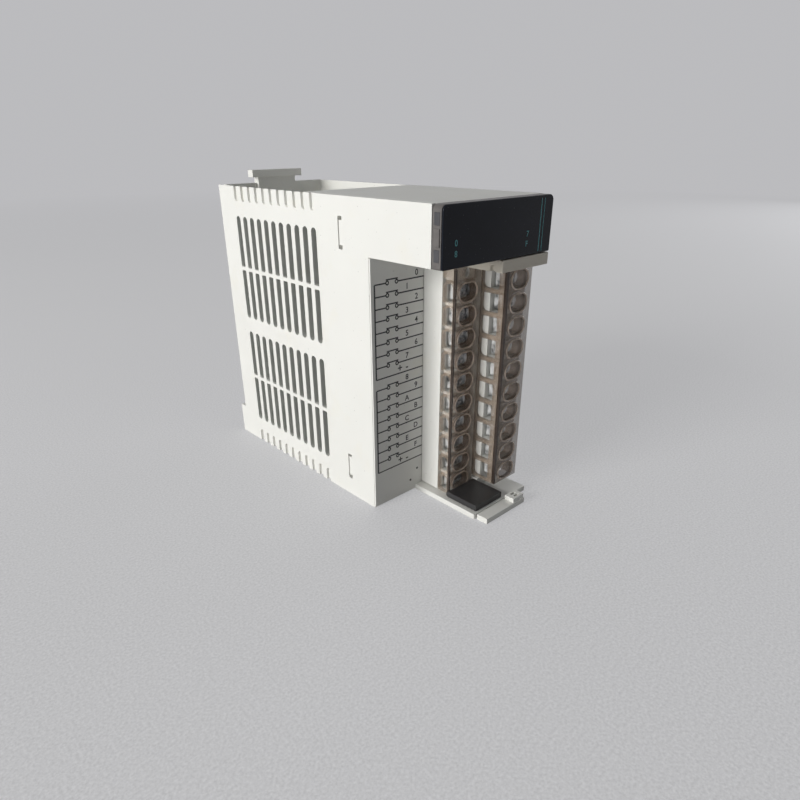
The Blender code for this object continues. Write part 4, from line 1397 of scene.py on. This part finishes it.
class MODULE_OT_levers(bpy.types.Operator):
    """Builds the black release lever and the ivory lock lever"""

    bl_idname = "module.levers"
    bl_label = "Levers"

    def execute(self, context):
        lever = soften(copy_of("release_lever", "black_lever"), 0.0003, 3)
        dress(lever, "black", "release_lever", "black_plastic", "release_lever")
        lock = soften(copy_of("lock_lever", "module_lock"), 0.0003, 3)
        dress(lock, "ivory", "lock_lever", "ivory_plastic", "lock_lever")
        refinish("lock_pin", "steel")
        return {"FINISHED"}


class MODULE_OT_electronics(bpy.types.Operator):
    """Builds the rear connector with its contacts and finishes the boards and chips"""

    bl_idname = "module.electronics"
    bl_label = "Boards and connectors"

    def execute(self, context):
        low, high = case_box("backplane_connector")
        shell = copy_of("backplane_connector", "rear_connector")
        middle = (low.x + high.x) / 2
        rim, pocket_depth = 0.0013, 0.0060
        corner = (low.x + rim, high.y - pocket_depth, low.z + rim)
        cut(shell, blocks((corner, (high.x - rim, high.y + OVER, high.z - rim))))
        blade_half, blade_root, blade_inset, blade_end = 0.0016, 0.0065, 0.0009, 0.003
        corner = (middle - blade_half, high.y - blade_root, low.z + blade_end)
        extend(shell, blocks((corner, (middle + blade_half, high.y - blade_inset, high.z - blade_end))))
        soften(shell, 0.0002)
        dress(shell, "socket", "case", "dark_plastic", "backplane_connector")
        number, first, offset, sunk = 20, 0.00425, 0.0017, 0.0036
        pitch = (high.z - low.z - 2 * first) / (number - 1)
        points = []
        for side in (-1, 1):
            for i in range(number):
                points.append((middle + side * offset, high.y - sunk, low.z + first + pitch * i))
        half = (0.0002, 0.0022, 0.0004)
        contact = blocks(([-part for part in half], half))
        unit = soften(solid("contact_unit", contact), 0.00008)
        contacts = grown("rear_contacts", points, rows_tree(), unit=unit, finish=finish_of("gold"))
        dress(contacts, "gold", "case", "plated_steel")
        discard(unit)
        refinish("main_board", "board")
        refinish("terminal_header", "socket")
        for node in frame["nodes"]:
            if node.startswith(("chip_", "optocoupler_")):
                refinish(node, "chip")
        return {"FINISHED"}


def direct_sight(graph):
    """One where a ray comes from the camera, off a gloss or through a clear piece, and nought elsewhere."""
    path = graph.tree.nodes.new("ShaderNodeLightPath")
    names = ("Is Camera Ray", "Is Glossy Ray", "Is Transmission Ray")
    camera, gloss, clear = (Value(graph, path.outputs[name]) for name in names)
    either = graph.node("ShaderNodeMath", {"operation": "MAXIMUM"}, {0: camera, 1: gloss})
    return graph.node("ShaderNodeMath", {"operation": "MAXIMUM"}, {0: either, 1: clear})


def sky(stage):
    """Surrounding light, dimmer from the front, and the backdrop's own colour where it is seen."""
    world = bpy.data.worlds.new("studio")
    bpy.context.scene.world = world
    world.use_nodes = True
    graph = Graph(world.node_tree)
    graph.tree.nodes.clear()
    ray = graph.node("ShaderNodeTexCoord", None, None, "Generated")
    back = graph.node("ShaderNodeSeparateXYZ", None, {0: ray}, "Y")
    light = (stage.ambient * 0.99, stage.ambient, stage.ambient * 1.02)
    front_share, back_share = 0.45, 1.55
    front_light, back_light = (*tinted(light, front_share), 1.0), (*tinted(light, back_share), 1.0)
    values = {0: back * 0.5 + 0.5, 6: front_light, 7: back_light}
    light = graph.node("ShaderNodeMix", {"data_type": "RGBA"}, values, output=2)
    values = {0: direct_sight(graph), 6: light, 7: (*stage.backdrop, 1.0)}
    tone = graph.node("ShaderNodeMix", {"data_type": "RGBA"}, values, output=2)
    glow = graph.node("ShaderNodeBackground", None, {"Color": tone, "Strength": 1.0})
    graph.node("ShaderNodeOutputWorld", None, {"Surface": glow})


def studio_floor(stage):
    """A wide floor that runs out into the backdrop's colour."""
    bm = bmesh.new()
    bmesh.ops.create_circle(bm, cap_ends=True, segments=96, radius=6.0)
    floor = shape_object("studio_floor", bm)
    paint = Paint("studio floor")
    grain = paint.noise(700.0, 3.0)
    patches = paint.noise(3.0, 2.0)
    tone = paint.blend(paint.span(patches, 0.3, 0.7), tinted(stage.floor, 0.97), stage.floor)
    normal = paint.bump(grain, 0.05, 0.0002)
    values = {"Base Color": tone, "Roughness": 0.75, "Normal": normal}
    near = paint.node("ShaderNodeBsdfPrincipled", None, values)
    far = paint.node("ShaderNodeEmission", None, {"Color": (*stage.backdrop, 1.0), "Strength": 1.0})
    away = paint.node("ShaderNodeVectorMath", {"operation": "LENGTH"}, {0: paint.place}, "Value")
    fade_start, fade_end = 0.35, 1.6
    fade = paint.span(away, fade_start, fade_end)
    pile = paint.span(paint.noise(1400.0, 2.0, 0.7), 0.3, 0.72)
    shine = paint.blend(pile, tinted(stage.floor_glow, 0.82), tinted(stage.floor_glow, 1.18))
    glow = paint.node("ShaderNodeEmission", None, {"Color": shine, "Strength": 1.0})
    near = paint.node("ShaderNodeMixShader", None, {0: direct_sight(paint) * 0.5, 1: near, 2: glow})
    mixed = paint.node("ShaderNodeMixShader", None, {0: fade, 1: near, 2: far})
    paint.node("ShaderNodeOutputMaterial", None, {"Surface": mixed})
    floor.data.materials.append(paint.material)


def lamp(name, place, size, power, tone):
    """A wide lamp that points at the middle of the module."""
    aim = Vector((0.0, 0.0, 0.05))
    data = bpy.data.lights.new(name, "AREA")
    data.shape = "RECTANGLE"
    data.size, data.size_y = size
    data.energy = power
    data.color = tone
    obj = add_object(name, data)
    obj.location = place
    obj.rotation_euler = (aim - Vector(place)).to_track_quat("-Z", "Y").to_euler()
    obj.visible_camera = False


def place_camera(scene, stage):
    """The camera, turned, tilted and rolled as the stage's settings say."""
    turn, tilt, roll = stage.azimuth, stage.elevation, stage.roll
    ahead = Vector((math.sin(turn) * math.cos(tilt), math.cos(turn) * math.cos(tilt), -math.sin(tilt)))
    right = Vector((math.cos(turn), -math.sin(turn), 0.0))
    above = right.cross(ahead)
    across = right * math.cos(roll) + above * math.sin(roll)
    above = above * math.cos(roll) - right * math.sin(roll)
    data = bpy.data.cameras.new("camera")
    data.lens = stage.lens
    data.sensor_width = 36.0
    data.shift_y = stage.rise
    data.clip_start = 0.005
    camera = add_object("camera", data)
    axes = Matrix((across, above, -ahead)).transposed().to_4x4()
    camera.matrix_world = Matrix.Translation(stage.place) @ axes
    scene.camera = camera


class MODULE_OT_stage(bpy.types.Operator):
    """Builds the floor, the light and the camera"""

    bl_idname = "module.stage"
    bl_label = "Stage"

    def execute(self, context):
        scene = context.scene
        stage = scene.module_stage
        scene.view_settings.view_transform = "Standard"
        sky(stage)
        studio_floor(stage)
        lamp("key", (-1.30, 0.15, 0.42), (0.6, 0.7), stage.key, (1.0, 0.99, 0.97))
        lamp("fill", (1.30, -0.05, 0.36), (0.6, 0.6), stage.key * stage.fill, (0.98, 0.99, 1.0))
        place_camera(scene, stage)
        return {"FINISHED"}


OPERATORS = (
    MODULE_OT_stage,
    MODULE_OT_case,
    MODULE_OT_display,
    MODULE_OT_label,
    MODULE_OT_terminals,
    MODULE_OT_fittings,
    MODULE_OT_levers,
    MODULE_OT_electronics,
)


class MODULE_PT_pieces(bpy.types.Panel):
    """Lists the pieces of the input module"""

    bl_idname = "MODULE_PT_pieces"
    bl_label = "Input module"
    bl_space_type = "VIEW_3D"
    bl_region_type = "UI"
    bl_category = "Input module"

    def draw(self, context):
        for operator in OPERATORS:
            self.layout.operator(operator.bl_idname)


GROUPS = {
    "module_case": CaseSizes,
    "module_terminals": TerminalSizes,
    "module_colours": ModuleColours,
    "module_stage": StageSettings,
}
CLASSES = (*GROUPS.values(), *OPERATORS, MODULE_PT_pieces)


def register():
    """Makes the settings, the operators and the panel known."""
    for made in CLASSES:
        bpy.utils.register_class(made)
    for name, group in GROUPS.items():
        setattr(bpy.types.Scene, name, PointerProperty(type=group))


def unregister():
    """Takes them out again."""
    for name in GROUPS:
        delattr(bpy.types.Scene, name)
    for made in reversed(CLASSES):
        bpy.utils.unregister_class(made)


def main():
    """Builds the stage and every piece."""
    register()
    bpy.ops.module.stage()
    bpy.ops.module.case()
    bpy.ops.module.display()
    bpy.ops.module.label()
    bpy.ops.module.terminals()
    bpy.ops.module.fittings()
    bpy.ops.module.levers()
    bpy.ops.module.electronics()
    bpy.context.view_layer.update()


if __name__ == "__main__":
    main()
